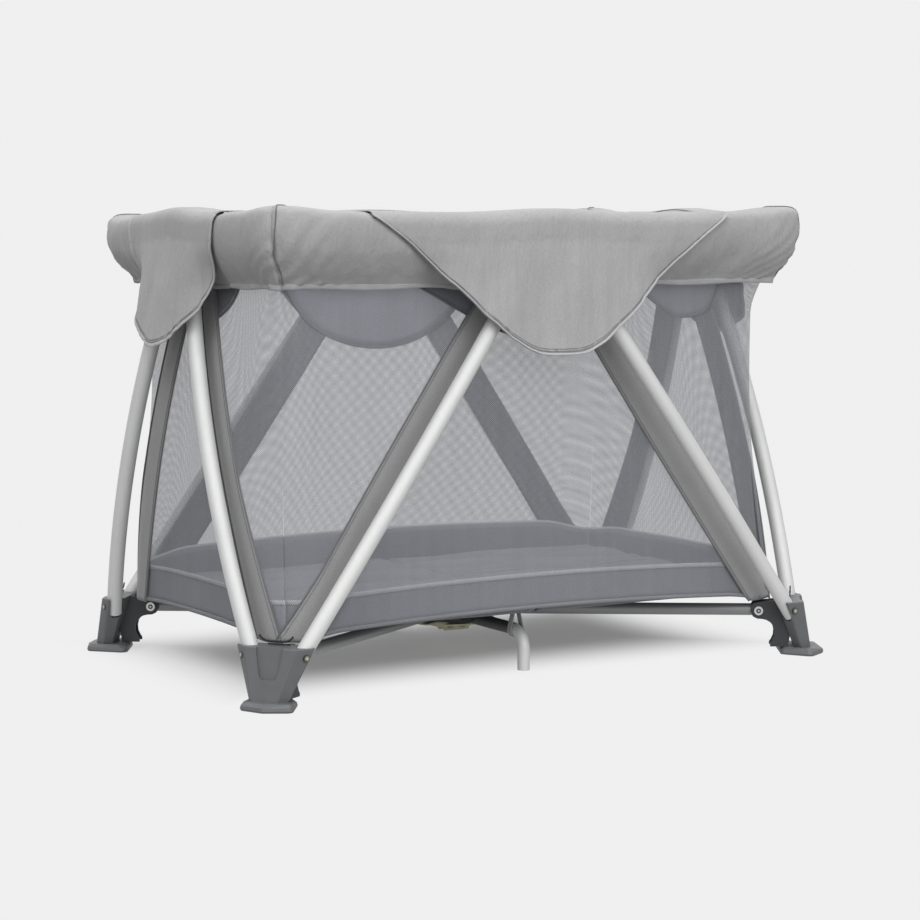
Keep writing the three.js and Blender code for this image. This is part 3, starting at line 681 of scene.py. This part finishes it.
for side in SIDES:
    name, degrees, long_side = side
    seed = 3.0 + degrees * 0.07
    side_len = 0.98 if long_side else 0.62
    straight_half = 0.47 if long_side else 0.29

    def rim(u, v):
        t = 2 * u - 1
        n, z = curve_through(RIM_SECTION, v)
        outer = smooth(v, 0.45, 0.62)
        if not long_side:
            n += 0.007 * (1 - t * t) * outer
        lift = smooth(abs(t), 0.80, 0.97) * smooth(z, 0.70, 0.74) * 0.004
        p, normal = rim_place(side, t, n, z - rim_sag(side, t) * smooth(z, 0.60, 0.74) + lift)
        corner = smooth(abs(t), 0.72, 0.98)
        s = t * side_len / 2
        # soft vertical gathers near the corners and along the lower edge, gentle swells elsewhere
        phase = s * 190 + 60 * v + 4 * fbm(s * 6, v * 3, 0, seed)
        gather = sin(phase) * 0.0026 * corner * smooth(v, 0.5, 0.8)
        swell = 0.0055 * fbm(s * 7, v * 2.2, 0, seed) * outer
        pleat = 0.0042 * fbm(s * 30, v * 1.6, 1.0, seed) * smooth(v, 0.58, 0.95)
        edge = 1 - smooth(abs(t), 0.985, 1.0)
        along = t * straight_half
        half = flap_half(long_side, z)
        # the inner face keeps clear of the side hub, and the rim lies flat under the flap
        clear = smooth(abs(along), 0.050, 0.090)
        p -= normal * 0.0045 * (1 - clear) * smooth(v, 0.02, 0.12) * (1 - smooth(v, 0.30, 0.44))
        under = smooth(abs(along), half + 0.012, half - 0.012) * smooth(v, 0.25, 0.31)
        push = (gather + swell + pleat) * edge * (1 - under) - 0.0016 * under
        return p + normal * push - Vector((0, 0, 0.0022 * under * clear))

    def rim_uv(u, v):
        return (2 * u - 1) * side_len / 2, 0.34 * v

    nu = 150 if long_side else 100
    cover = grid(f"rim_{name}", rim, nu, 54, RIM_FABRIC, rim_uv, thick=0.0016)
    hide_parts(f"rim_cover_{name}")
    soft(cover, name)

    # binding along the rim's outer lower edge, and piped seams at the corners
    bits = []
    path = [rim(k / nu, 1.0) for k in range(nu + 1)]

    def binding(u, v):
        k = min(int(u * (len(path) - 1) + 0.5), len(path) - 1)
        _, normal = rim_place(side, 2 * u - 1, 0.28, 0.6)
        wave = 0.0015 * sin(u * 29)
        return path[k] + normal * (0.0014 - 0.002 * v) + Vector((0, 0, 0.002 - 0.0085 * v + wave * v))

    bits.append(grid("binding", binding, nu, 3, TAPE_FABRIC, rim_uv, thick=0.0018))
    for corner in (0.0, 1.0) if long_side else ():
        line = []
        for k in range(61):
            v = 0.28 + 0.72 * k / 60
            inset = 0.003 + 0.010 * max(0.0, sin(pi * (v - 0.28) / 0.72)) * sin(7.5 * v)
            at = abs(corner - inset)
            n, z = curve_through(RIM_SECTION, v)
            n2, z2 = curve_through(RIM_SECTION, min(1.0, v + 0.01))
            _, normal = rim_place(side, 2 * at - 1, n, z)
            slope = Vector((n2 - n, z2 - z))
            lean = slope.normalized() if slope.length > 1e-6 else Vector((0, -1))
            line.append(rim(at, v) + (normal * -lean.y + Vector((0, 0, lean.x))) * 0.0013)
        bits.append(pipe("corner_seam", line, 0.0010, PIPING, 8))
    trim = join(bits, f"rim_trim_{name}")
    soft(trim, name)

    # the pointed flap over mid-side
    top_half = 0.335 if long_side else 0.162
    belly = 0.014 if long_side else 0.030
    outline = LONG_FLAP if long_side else SHORT_FLAP

    def flap_out(x, z):
        """How far out the flap hangs."""
        if z > 0.700:
            n = 0.3265
        else:
            f = (0.700 - z) / (0.700 - 0.522)
            n = 0.3255 + belly * f
            hug = smooth(abs(x), 0.10 if long_side else 0.07, top_half * 0.95)
            n -= (0.030 if long_side else 0.034) * hug * smooth(0.700 - z, 0.0, 0.075)
        if not long_side:
            n += 0.007 * (1 - (x / 0.31) ** 2)
        return n

    def flap(u, v, off=0.0):
        # v runs from the rim's top, over its shoulder and down to the shaped edge
        share = abs(2 * u - 1)
        wide, low = curve_through(outline, share)
        sign = 1 if u > 0.5 else -1
        x = sign * wide
        over, shoulder, level = 0.043, 0.020, 0.7230
        quarter = shoulder * pi / 2
        if low >= level:
            total = over + shoulder * acos(min(1.0, (low - level) / shoulder))
        else:
            total = over + quarter + level - low
        run = v * total - over
        angle = min(max(run, 0.0), quarter) / shoulder
        z = level + shoulder * cos(angle) - max(0.0, run - quarter) - 0.0016 * smooth(-run, 0.025, over)
        if run < quarter:
            n = 0.3065 + min(run, 0.0) + shoulder * sin(angle)
            if not long_side:
                n += 0.007 * (1 - (x / 0.31) ** 2) * smooth(run, -0.02, 0.01)
        else:
            n = flap_out(x, z)
        hang = smooth(z, 0.715, 0.62) if z < 0.715 else 0.0
        hang *= 1 - smooth(share, 0.86, 1.0)
        ripple = 0.0046 * fbm(x * 14, z * 2.2, 2.0, seed) + 0.0034 * fbm(x * 42, z * 3.0, 5.0, seed)
        ripple += 0.0016 * fbm(x * 92, z * 5.0, 8.0, seed)
        pull = 0.0030 * sin(x * 58 + 2.4 * fbm(x * 5, z * 4, 0, seed)) * smooth(0.70 - z, 0.0, 0.09)
        out = n + 0.0010 + off + (0.0 if long_side else RIM_EXTRA) + (ripple + pull) * hang
        return turn_side(x, out, z - rim_sag(side, x / straight_half), degrees)

    def flap_uv(u, v):
        return (2 * u - 1) * top_half, 0.24 * v

    nf = 96 if long_side else 70
    leaf = grid("flap", flap, nf, 44, RIM_FABRIC, flap_uv, thick=0.0018)
    leaf.name = leaf.data.name = f"flap_{name}"
    bits = []
    edge_line = [flap(k / 160, 1.0) for k in range(161)]
    bits.append(pipe("flap_binding", edge_line, 0.0042, TAPE_FABRIC, 10, flat=0.0019))
    for inset in (0.985, 0.972):
        row = [flap(k / 160, inset, 0.0011) for k in range(161)]
        bits.append(pipe("flap_stitch", row, 0.0005, PIPING, 6))
    flap_trim = join(bits, f"flap_trim_{name}")
    soft(leaf, name)
    soft(flap_trim, name)

# ---- floor and quilted mattress, in quarters that ride on the base rails ----
MAT_X, MAT_Y, MAT_R = 0.439, 0.259, 0.035
MAT_LOW, MAT_TOP = 0.105, 0.127
FLOOR_EDGE_X, FLOOR_EDGE_Y, FLOOR_R = 0.4585, 0.2805, 0.046
FLOOR_HOLE = 0.040
FLOOR_CUT = (0.457, 0.279)


def quilt_depth(x, y):
    """0 on a quilting line and 1 between lines: two families of long waves that cross."""
    best = 1.0
    for family in (1, -1):
        for k in range(-4, 5):
            line = k * 0.150 + family * 0.052 * sin(x * 10.5 + 0.6)
            slope = family * 0.052 * 10.5 * cos(x * 10.5 + 0.6)
            best = min(best, abs(y - line) / sqrt(1 + slope * slope) / 0.028)
    return min(1.0, best) ** 0.55


def mattress_quarter(sx, sy, corner):
    """One quarter of the pad: its quilted top, side, piping and underside."""
    def top(u, v):
        # u along x, v along y, with a rounded outer corner
        x, y = MAT_X * u, MAT_Y * v
        ex, ey = x - (MAT_X - MAT_R), y - (MAT_Y - MAT_R)
        if ex > 0 and ey > 0:
            far = hypot(ex, ey)
            near = max(ex, ey)
            x = MAT_X - MAT_R + ex * near / far
            y = MAT_Y - MAT_R + ey * near / far
        rim_gap = min(MAT_X - abs(x), MAT_Y - abs(y))
        seam = min(abs(x), abs(y)) / 0.012
        puff = quilt_depth(sx * x, sy * y) * 0.0075 * smooth(rim_gap, 0.0, 0.02)
        puff *= smooth(seam, 0.0, 1.0) * 0.8 + 0.2
        droop = 0.006 * (1 - smooth(rim_gap, 0.0, 0.022))
        rumple = 0.0012 * fbm(x * 9 * sx, y * 9 * sy, 0, 7.0)
        return Vector((sx * x, sy * y, MAT_TOP - 0.006 + puff - droop + rumple))

    def top_uv(u, v):
        return sx * MAT_X * u, sy * MAT_Y * v

    upper = grid("quilt", top, 110, 66, QUILT_FABRIC, top_uv)
    # the mattress's side and underside
    outline = [top(1.0, k / 40) for k in range(41)] + [top(1 - k / 60, 1.0) for k in range(1, 61)]

    def skirt(u, v):
        p = outline[min(int(u * (len(outline) - 1) + 0.5), len(outline) - 1)]
        out = Vector((p.x / MAT_X, p.y / MAT_Y, 0)).normalized()
        bulge = 0.004 * sin(pi * v)
        z = p.z + (MAT_LOW - p.z) * v
        return Vector((p.x, p.y, z)) + out * bulge

    def skirt_uv(u, v):
        return u * 0.7, v * 0.022

    def bottom(u, v):
        p = top(u, v)
        return Vector((p.x, p.y, MAT_LOW))

    side_wall = grid("quilt_side", skirt, len(outline) - 1, 6, QUILT_FABRIC, skirt_uv)
    piping = pipe("quilt_piping", [p + Vector((0, 0, 0.0005)) for p in outline], 0.0022, TAPE_FABRIC, 8)
    under = grid("quilt_under", bottom, 12, 8, QUILT_FABRIC, top_uv)
    return join([upper, side_wall, piping, under], f"mattress_{corner}")


QUARTERS = []
for corner, sx, sy in CORNERS:
    quarter = mattress_quarter(sx, sy, corner)

    def floor_point(u, v):
        x, y = 0.002 + 0.4565 * u, 0.002 + 0.2785 * v
        ex, ey = x - (FLOOR_EDGE_X - FLOOR_R), y - (FLOOR_EDGE_Y - FLOOR_R)
        if ex > 0 and ey > 0:
            pull = max(ex, ey) / hypot(ex, ey)
            x, y = x + ex * (pull - 1), y + ey * (pull - 1)
        if hypot(x, y) < FLOOR_HOLE:
            out = FLOOR_HOLE / max(1e-6, hypot(x, y))
            x, y = x * out, y * out
        z = 0.0995 + 0.0010 * fbm(x * 9 * sx, y * 9 * sy, 0, 2.0)
        z += max(0.0, hem_height(True, x / 0.46) + 0.0015 - z) * smooth(v, 0.90, 0.985)
        return Vector((sx * x, sy * y, z))

    def floor_uv(u, v):
        return u * FLOOR_CUT[0], v * FLOOR_CUT[1]

    floor_sheet = grid(f"floor_{corner}", floor_point, 44, 28, FLOOR_FABRIC, floor_uv, thick=0.0014)
    QUARTERS.append((quarter, corner, sx, sy, "mattress"))
    QUARTERS.append((floor_sheet, corner, sx, sy, "floor_panel"))

# ---- legs, rails and support legs ----
def leg_points(foot, tip, bow):
    """A leg's gentle curve from its foot to its tip, run a little past both."""
    mid = (foot + tip) / 2 + bow
    points = []
    for k in range(41):
        t = k / 40
        points.append(foot * (1 - t) ** 2 + mid * 2 * t * (1 - t) + tip * t * t)
    low = foot - (mid - foot).normalized() * 0.012
    high = tip + (tip - mid).normalized() * 0.010
    return [low] + points + [high]


def rail_way(sx, sy):
    """The level directions along and across a corner's base rail."""
    along = Vector((sx * cos(RAIL_ANGLE), sy * sin(RAIL_ANGLE), 0))
    return along, Vector((-along.y, along.x, 0))


def mirrored(p, sx, sy):
    return Vector((sx * p.x, sy * p.y, p.z))


for corner, sx, sy in CORNERS:
    for kind, foot, tip, bow in (("long", LONG_FOOT, LONG_TIP, Vector((0, sy * LONG_BOW, 0))),
                                 ("short", SHORT_FOOT, SHORT_TIP, Vector((sx * SHORT_BOW, 0, 0)))):
        points = leg_points(mirrored(foot, sx, sy), mirrored(tip, sx, sy), bow)
        leg = pipe(f"{kind}_tube_{corner}", points, LEG_R, TUBE, 40)
        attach(leg, f"{kind}_leg_{corner}_body")
        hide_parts(f"{kind}_leg_{corner}")
    along, _ = rail_way(sx, sy)
    up = Vector((0, 0, RAIL_Z))
    stations = (RAIL_HUB - 0.009, 0.28, RAIL_FOOT + 0.007)
    rail = pipe(f"rail_tube_{corner}", [along * reach + up for reach in stations], RAIL_R, RAIL, 36)
    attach(rail, f"base_rail_{corner}_body")
    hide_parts(f"base_rail_{corner}")

SUPPORT_Y, SUPPORT_Z, SUPPORT_END = 0.072, 0.064, 0.226
for name, sy in (("front", -1), ("rear", 1)):
    bend = 0.030
    path = [Vector((0, sy * (SUPPORT_Y - 0.008), SUPPORT_Z)), Vector((0, sy * 0.14, SUPPORT_Z))]
    for k in range(13):
        a = pi / 2 * k / 12
        y = SUPPORT_END - bend + bend * sin(a)
        path.append(Vector((0, sy * y, SUPPORT_Z - bend + bend * cos(a))))
    path.append(Vector((0, sy * SUPPORT_END, 0.0012)))
    leg = pipe(f"support_tube_{name}", path, RAIL_R, TUBE, 32)
    # the inner run, in the shadow under the mattress, gets a darker material: painted shade
    leg.data.materials.append(SHADED_TUBE)
    for face in leg.data.polygons:
        if abs(face.center.y) < 0.200:
            face.material_index = 1
    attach(leg, f"support_leg_{name}_body")
    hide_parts(f"support_leg_{name}")

# ---- corner feet ----
PAD_PLAN = ((0.485, 0.347), (0.514, 0.331), (0.528, 0.301), (0.492, 0.265), (0.463, 0.314))
PAD_TOP = ((0.484, 0.346), (0.508, 0.327), (0.525, 0.299), (0.495, 0.272), (0.467, 0.316))
# height, radius and centres of the discs whose hull is the pad's section there
PAD_SECTIONS = ((0.0000, 0.0095, PAD_PLAN), (0.0030, 0.0110, PAD_PLAN), (0.0075, 0.0098, PAD_PLAN),
                (0.0125, 0.0070, PAD_TOP))


def hull_outline(discs, count=72):
    """Evenly turned points on the hull of discs (x, y, r), by support directions."""
    out = []
    cx = sum(d[0] for d in discs) / len(discs)
    cy = sum(d[1] for d in discs) / len(discs)
    for k in range(count):
        a = 2 * pi * k / count
        dx, dy = cos(a), sin(a)
        best = max(discs, key=lambda d: (d[0] - cx) * dx + (d[1] - cy) * dy + d[2])
        out.append(Vector((best[0] + dx * best[2], best[1] + dy * best[2], 0)))
    return out


def loft(name, rings, mat):
    """A closed solid through rings of points, bottom to top."""
    verts = [p for ring in rings for p in ring]
    return mesh_object(name, verts, ring_faces(len(rings[0]), len(rings)), mat, smooth=False)


def soften(obj, width, angle):
    """Bevels the sharp edges and evens the shading of the flat faces."""
    bevel = obj.modifiers.new("bevel", "BEVEL")
    bevel.width = width
    bevel.segments = 2
    bevel.limit_method = "ANGLE"
    bevel.angle_limit = radians(angle)
    bake(obj)
    obj.data.polygons.foreach_set("use_smooth", [True] * len(obj.data.polygons))
    obj.data.set_sharp_from_angle(angle=radians(40))
    weighted = obj.modifiers.new("normals", "WEIGHTED_NORMAL")
    weighted.keep_sharp = True
    weighted.weight = 80
    bake(obj)


def boolean(obj, other, operation):
    mod = obj.modifiers.new("bool", "BOOLEAN")
    mod.operation = operation
    mod.solver = "EXACT"
    mod.object = other
    bake(obj)
    bpy.data.objects.remove(other)
    return obj


def rounded_prism(points, direction, depth, mat):
    """A prism from plan points pushed along direction."""
    count = len(points)
    verts = [p - direction * depth for p in points] + [p + direction * depth for p in points]
    faces = [tuple(reversed(range(count))), tuple(range(count, 2 * count))]
    for i in range(count):
        j = (i + 1) % count
        faces.append((i, j, count + j, count + i))
    obj = mesh_object("cutter", verts, faces, mat, smooth=False)
    bm = bmesh.new()
    bm.from_mesh(obj.data)
    bmesh.ops.recalc_face_normals(bm, faces=bm.faces)
    bm.to_mesh(obj.data)
    bm.free()
    return obj


def build_foot():
    """The moulded foot of the +X +Y corner."""
    rings = []
    for z, radius, plan in PAD_SECTIONS:
        discs = [(x, y, radius) for x, y in plan]
        rings.append([p + Vector((0, 0, z)) for p in hull_outline(discs)])
    foot = loft("foot", rings, SHELL)
    low = ((0.481, 0.333, 0.0035), (0.4955, 0.3325, 0.0035), (0.5190, 0.3010, 0.0035), (0.515, 0.289, 0.0035),
           (0.503, 0.287, 0.0035), (0.479, 0.320, 0.0035))
    high = ((0.441, 0.3455, 0.004), (0.4685, 0.3455, 0.004), (0.5175, 0.2755, 0.004), (0.5175, 0.255, 0.004),
            (0.497, 0.257, 0.006), (0.443, 0.322, 0.006))
    shell_rings = []
    for f in (0.0, 0.25, 0.5, 0.75, 0.985, 1.0):
        blend = [tuple(a + (b - a) * f for a, b in zip(d0, d1)) for d0, d1 in zip(low, high)]
        shrink = 0.0008 if f == 1.0 else 0.0
        discs = [(x, y, r - shrink) for x, y, r in blend]
        z = 0.0095 + (0.0920 - 0.0095) * f
        shell_rings.append([p + Vector((0, 0, z)) for p in hull_outline(discs)])
    shell = loft("shell", shell_rings, SHELL)
    foot = boolean(foot, shell, "UNION")
    # U-shaped recess on the outer face
    a = Vector((0.472, 0.348, 0.092))
    b = Vector((0.521, 0.278, 0.092))
    c = Vector((0.507, 0.322, 0.012))
    across = (b - a).normalized()
    middle_top = (a + b) / 2
    down = (c - middle_top).normalized()
    face = across.cross(down).normalized()
    if face.x < 0:
        face = -face
    shape = []
    for t, d in ((-0.0250, -0.012), (-0.0215, 0.014), (-0.0165, 0.039), (-0.0140, 0.0448), (-0.0095, 0.0475),
                 (0.0095, 0.0475), (0.0140, 0.0448), (0.0165, 0.039), (0.0215, 0.014), (0.0250, -0.012)):
        shape.append(middle_top + across * t + down * d)
    foot = boolean(foot, rounded_prism(shape, face, 0.0046, SHELL), "DIFFERENCE")
    # sockets for the two tubes
    for pivot, bow, tip in ((LONG_FOOT, Vector((0, LONG_BOW, 0)), LONG_TIP),
                            (SHORT_FOOT, Vector((SHORT_BOW, 0, 0)), SHORT_TIP)):
        way = ((pivot + tip) / 2 + bow - pivot).normalized()
        inward = Vector((-0.010, 0, 0)) if pivot is LONG_FOOT else Vector((0, -0.010, 0))
        for gap, shift in ((0.0012, Vector((0, 0, 0))), (0.0006, inward)):
            line = [pivot - way * 0.016 + shift, pivot + way * 0.070 + shift]
            foot = boolean(foot, pipe("hole", line, LEG_R + gap, BLACK, 32), "DIFFERENCE")
    soften(foot, 0.0010, 20)
    return foot


# radius, start, stop and material of a leg rivet's three parts
RIVET_PARTS = ((0.0052, -0.003, 0.0006, BLACK), (0.0040, 0.0, 0.0011, DULL), (0.0018, 0.0, 0.0016, BRIGHT))

MASTER_FOOT = build_foot()
for corner, sx, sy in CORNERS:
    bm = bmesh.new()
    bm.from_mesh(MASTER_FOOT.data)
    bmesh.ops.transform(bm, matrix=Matrix.Diagonal((sx, sy, 1, 1)), verts=bm.verts)
    if sx * sy < 0:
        bmesh.ops.reverse_faces(bm, faces=bm.faces)
    mesh = bpy.data.meshes.new(f"foot_{corner}")
    bm.to_mesh(mesh)
    bm.free()
    mesh.polygons.foreach_set("use_smooth", [True] * len(mesh.polygons))
    mesh.materials.append(SHELL)
    obj = bpy.data.objects.new(f"foot_moulding_{corner}", mesh)
    SCENE.collection.objects.link(obj)
    evened = obj.modifiers.new("normals", "WEIGHTED_NORMAL")
    evened.keep_sharp = True
    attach(obj, f"foot_{corner}")
    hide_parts(f"foot_shell_{corner}")
    # rivet heads of the two leg pivots
    bits = []
    for centre, axis in ((Vector((sx * 0.453, sy * 0.3495, 0.078)), Vector((0, sy, 0))),
                         (Vector((sx * 0.5215, sy * 0.268, 0.078)), Vector((sx, 0, 0)))):
        for radius, start, stop, mat in RIVET_PARTS:
            bits.append(pipe("rivet", [centre + axis * start, centre + axis * stop], radius, mat, 24))
    rivets = join(bits, f"leg_rivets_{corner}")
    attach(rivets, f"foot_{corner}")
bpy.data.objects.remove(MASTER_FOOT)

# ---- forks: two cheeks round the rail's end, running into a gusset with a hollow underside ----
FORK_CHEEK = (
    (0.5035, 0.0855), (0.4995, 0.0790), (0.4990, 0.0700), (0.5030, 0.0625), (0.5100, 0.0590),
    (0.5180, 0.0585), (0.5250, 0.0570), (0.5320, 0.0530), (0.5370, 0.0465), (0.5390, 0.0380),
    (0.5385, 0.0290), (0.5350, 0.0210), (0.5320, 0.0170), (0.5320, 0.0120), (0.5620, 0.0120),
    (0.5680, 0.0500), (0.5680, 0.0900), (0.5400, 0.0905), (0.5200, 0.0880),
)
FORK_WEB = ((0.5420, 0.0115), (0.5620, 0.0115), (0.5680, 0.0500), (0.5680, 0.0900), (0.5420, 0.0905))
CHEEK_IN, CHEEK_OUT = 0.0108, 0.0144


def fork_plate(outline, inner, outer, along, across):
    """A plate upright along the rail, from inner to outer across it."""
    points = [along * r + Vector((0, 0, z)) + across * ((inner + outer) / 2) for r, z in outline]
    return rounded_prism(points, across, (outer - inner) / 2, BLACK)


for corner, sx, sy in CORNERS:
    along, across = rail_way(sx, sy)
    sockets = []
    bits = []
    for shape, inner, outer in ((FORK_CHEEK, CHEEK_IN, CHEEK_OUT), (FORK_CHEEK, -CHEEK_OUT, -CHEEK_IN),
                                (FORK_WEB, -CHEEK_IN, CHEEK_IN)):
        bits.append(fork_plate(shape, inner, outer, along, across))
    for turn in (-1, 1):
        # the bolt's socket: a dark ring round a bright pin
        head = along * RAIL_FOOT + Vector((0, 0, RAIL_Z)) + across * (turn * 0.019)
        sockets.append(pipe("socket", [head, head + across * (turn * 0.0004)], 0.0040, BLACK, 24))
        sockets.append(pipe("socket_pin", [head, head + across * (turn * 0.0008)], 0.0016, BRIGHT, 16))
    fork = join(bits, f"fork_{corner}")
    soften(fork, 0.0008, 25)
    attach(fork, f"foot_{corner}")
    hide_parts(f"foot_fork_{corner}")
    socket = join(sockets, f"bolt_sockets_{corner}")
    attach(socket, f"foot_{corner}")

# ---- materials of the carried-over CAD nodes ----
CAD_MATERIAL = (
    ("rail_bolt", BRIGHT), ("hub_housing", BLACK), ("hub_plate", KHAKI), ("plate_rivet", DULL),
    ("fold_handle", SHELL), ("side_hub", BLACK), ("corner_joint", BLACK), ("top_rail", RAIL),
    ("floor_panel", FLOOR_FABRIC), ("mattress", QUILT_FABRIC),
)
for node_name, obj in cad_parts.items():
    for prefix, mat in CAD_MATERIAL:
        if node_name.startswith(prefix):
            for slot_item in obj.material_slots:
                slot_item.material = mat

# ---- straps ----
def strap(name, points, width, thick, mat, body):
    """A flat webbing strap along points."""
    def ring(p, side, up):
        up = up.normalized()
        corners = ((-1, -1), (1, -1), (1, 1), (-1, 1))
        return [(p + side * (a * width / 2) + up * (b * thick / 2), a * width / 2) for a, b in corners]

    obj = sweep(name, points, ring, mat, smooth=False)
    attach(obj, body)


LOOP_R, LOOP_TOP = 0.0118, 0.1085
for name, sy in (("front", -1), ("rear", 1)):
    # round the tube's underside, then up both ways to a point under the hem
    loop = []
    for k in range(17):
        a = radians(165 + 210 * k / 16)
        loop.append(Vector((LOOP_R * cos(a), 0.0, SUPPORT_Z - 0.001 + LOOP_R * sin(a))))
    right, left = loop[-1], loop[0]
    loop += [right.lerp(Vector((0.0012, 0, LOOP_TOP)), f) for f in (0.25, 0.5, 0.75, 1.0)]
    loop += [left.lerp(Vector((-0.0012, 0, LOOP_TOP)), f) for f in (1.0, 0.75, 0.5, 0.25, 0.0)]
    loop = [p + Vector((0, sy * 0.201, 0)) for p in loop]
    strap(f"support_loop_{name}", loop, 0.012, 0.0014, WEBBING, f"support_leg_{name}_body")

# height, rise at the ends, radius, and the stretch of each corner elastic
ELASTICS = ((0.0990, 0.0085, 0.0012, 0.0, 1.0), (0.0950, 0.0, 0.0009, 0.25, 0.92))
for corner, sx, sy in CORNERS:
    bits = []
    for low, rise, radius, start, stop in ELASTICS:
        points = []
        for k in range(17):
            f = start + (stop - start) * k / 16
            x, y = 0.4965 + (0.4620 - 0.4965) * f, 0.2790 + (0.3230 - 0.2790) * f
            points.append(Vector((sx * x, sy * y, low + rise * abs(2 * f - 1) ** 5)))
        bits.append(pipe("elastic", points, radius, BLACK_WEBBING, 10, flat=radius * 1.5))
    elastic = join(bits, f"corner_elastic_{corner}")
    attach(elastic, f"foot_{corner}")

# ---- riding of soft pieces ----
gather_all()
for obj, corner, sx, sy, node_name in QUARTERS:
    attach(obj, f"base_rail_{corner}_body")
    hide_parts(node_name)
    across = Vector((-sy * sin(RAIL_ANGLE), sx * cos(RAIL_ANGLE), 0))
    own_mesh(obj)

# ---- stage, lights and camera ----
BACKDROP = 0.868


def floor_material():
    """Matt white floor that fades into the backdrop's tone away from the object."""
    m = material("stage_floor")
    where = m.add("ShaderNodeNewGeometry").outputs["Position"]
    parts = m.add("ShaderNodeSeparateXYZ", {0: where})
    past_x = m.math("SUBTRACT", m.math("ABSOLUTE", parts.outputs[0]), 0.38)
    past_y = m.math("SUBTRACT", m.math("ABSOLUTE", m.math("SUBTRACT", parts.outputs[1], 0.09)), 0.17)
    away = m.math("MAXIMUM", past_x, past_y)
    fade = m.spread(away, -0.06, 0.20, 0.19, 1.0, interpolation_type="SMOOTHSTEP")
    matt = m.add("ShaderNodeBsdfDiffuse", {"Color": (0.56, 0.56, 0.56, 1.0)})
    far = m.add("ShaderNodeEmission", {"Color": (BACKDROP, BACKDROP, BACKDROP, 1.0), "Strength": 1.0})
    return m.finish(m.add("ShaderNodeMixShader", {0: fade, 1: matt.outputs[0], 2: far.outputs[0]}).outputs[0])


STAGE = 30.0
corners = [(x * STAGE, y * STAGE, 0) for x, y in ((-1, -1), (1, -1), (1, 1), (-1, 1))]
stage = mesh_object("stage_floor", corners, [(0, 1, 2, 3)], floor_material(), smooth=False)
stage.visible_diffuse = False

w = Nodes(bpy.data.worlds.new("studio"), "ShaderNodeOutputWorld")
heading = w.add("ShaderNodeTexCoord").outputs["Generated"]
height = w.add("ShaderNodeSeparateXYZ", {0: heading}).outputs[2]
raised = w.add("ShaderNodeMath", {0: height, 1: 0.5, 2: 0.5}, operation="MULTIPLY_ADD").outputs[0]
ramp = w.add("ShaderNodeValToRGB", {0: raised})
stops = ramp.color_ramp.elements
stops[0].position, stops[0].color = 0.0, (0.34, 0.34, 0.34, 1.0)
stops[1].position, stops[1].color = 1.0, (1.9, 1.9, 1.9, 1.0)
for position, tone in ((0.30, 0.46), (0.44, BACKDROP), (0.58, BACKDROP), (0.74, 1.7)):
    stop = stops.new(position)
    stop.color = (tone, tone, tone, 1.0)
# dark flags to both sides give the tubes their shaded edges
aside = w.add("ShaderNodeVectorMath", {0: heading, 1: (0.864, -0.503, 0.0)}, operation="DOT_PRODUCT")
apart = w.math("ABSOLUTE", aside.outputs["Value"])
flag = w.spread(apart, 0.40, 0.85, 1.0, 0.36, interpolation_type="SMOOTHSTEP")
light = w.add("ShaderNodeBackground", {0: w.mix(1.0, ramp.outputs[0], flag, "MULTIPLY"), 1: 1.0})
SCENE.world = w.finish(light.outputs[0])


def area(name, place, aim, wide, energy):
    """A round soft light at place, turned towards aim."""
    data = bpy.data.lights.new(name, "AREA")
    data.shape = "DISK"
    data.size = wide
    data.energy = energy
    lamp = bpy.data.objects.new(name, data)
    lamp.location = place
    lamp.rotation_euler = (Vector(aim) - Vector(place)).to_track_quat("-Z", "Y").to_euler()
    SCENE.collection.objects.link(lamp)


area("key", (-3.4, -2.4, 4.2), (0, 0, 0.3), 2.6, 60)
area("front_fill", (0.6, -4.6, 2.2), (0, 0, 0.4), 3.4, 72)

CAM_YAW, CAM_PITCH = 30.202, 5.486
# focal length for an image IMAGE_WIDE across, and the sensor's width in mm
CAM_FOCAL, IMAGE_WIDE, SENSOR = 2527.1, 920, 36.0
cam_data = bpy.data.cameras.new("camera")
cam_data.sensor_width = SENSOR
cam_data.lens = CAM_FOCAL / IMAGE_WIDE * SENSOR
camera = bpy.data.objects.new("camera", cam_data)
camera.location = (-2.1161, -3.6575, 0.7284)
camera.rotation_euler = (radians(90 - CAM_PITCH), 0.0, radians(-CAM_YAW))
SCENE.collection.objects.link(camera)
SCENE.camera = camera
SCENE.view_settings.view_transform = "Standard"

bpy.context.view_layer.update()
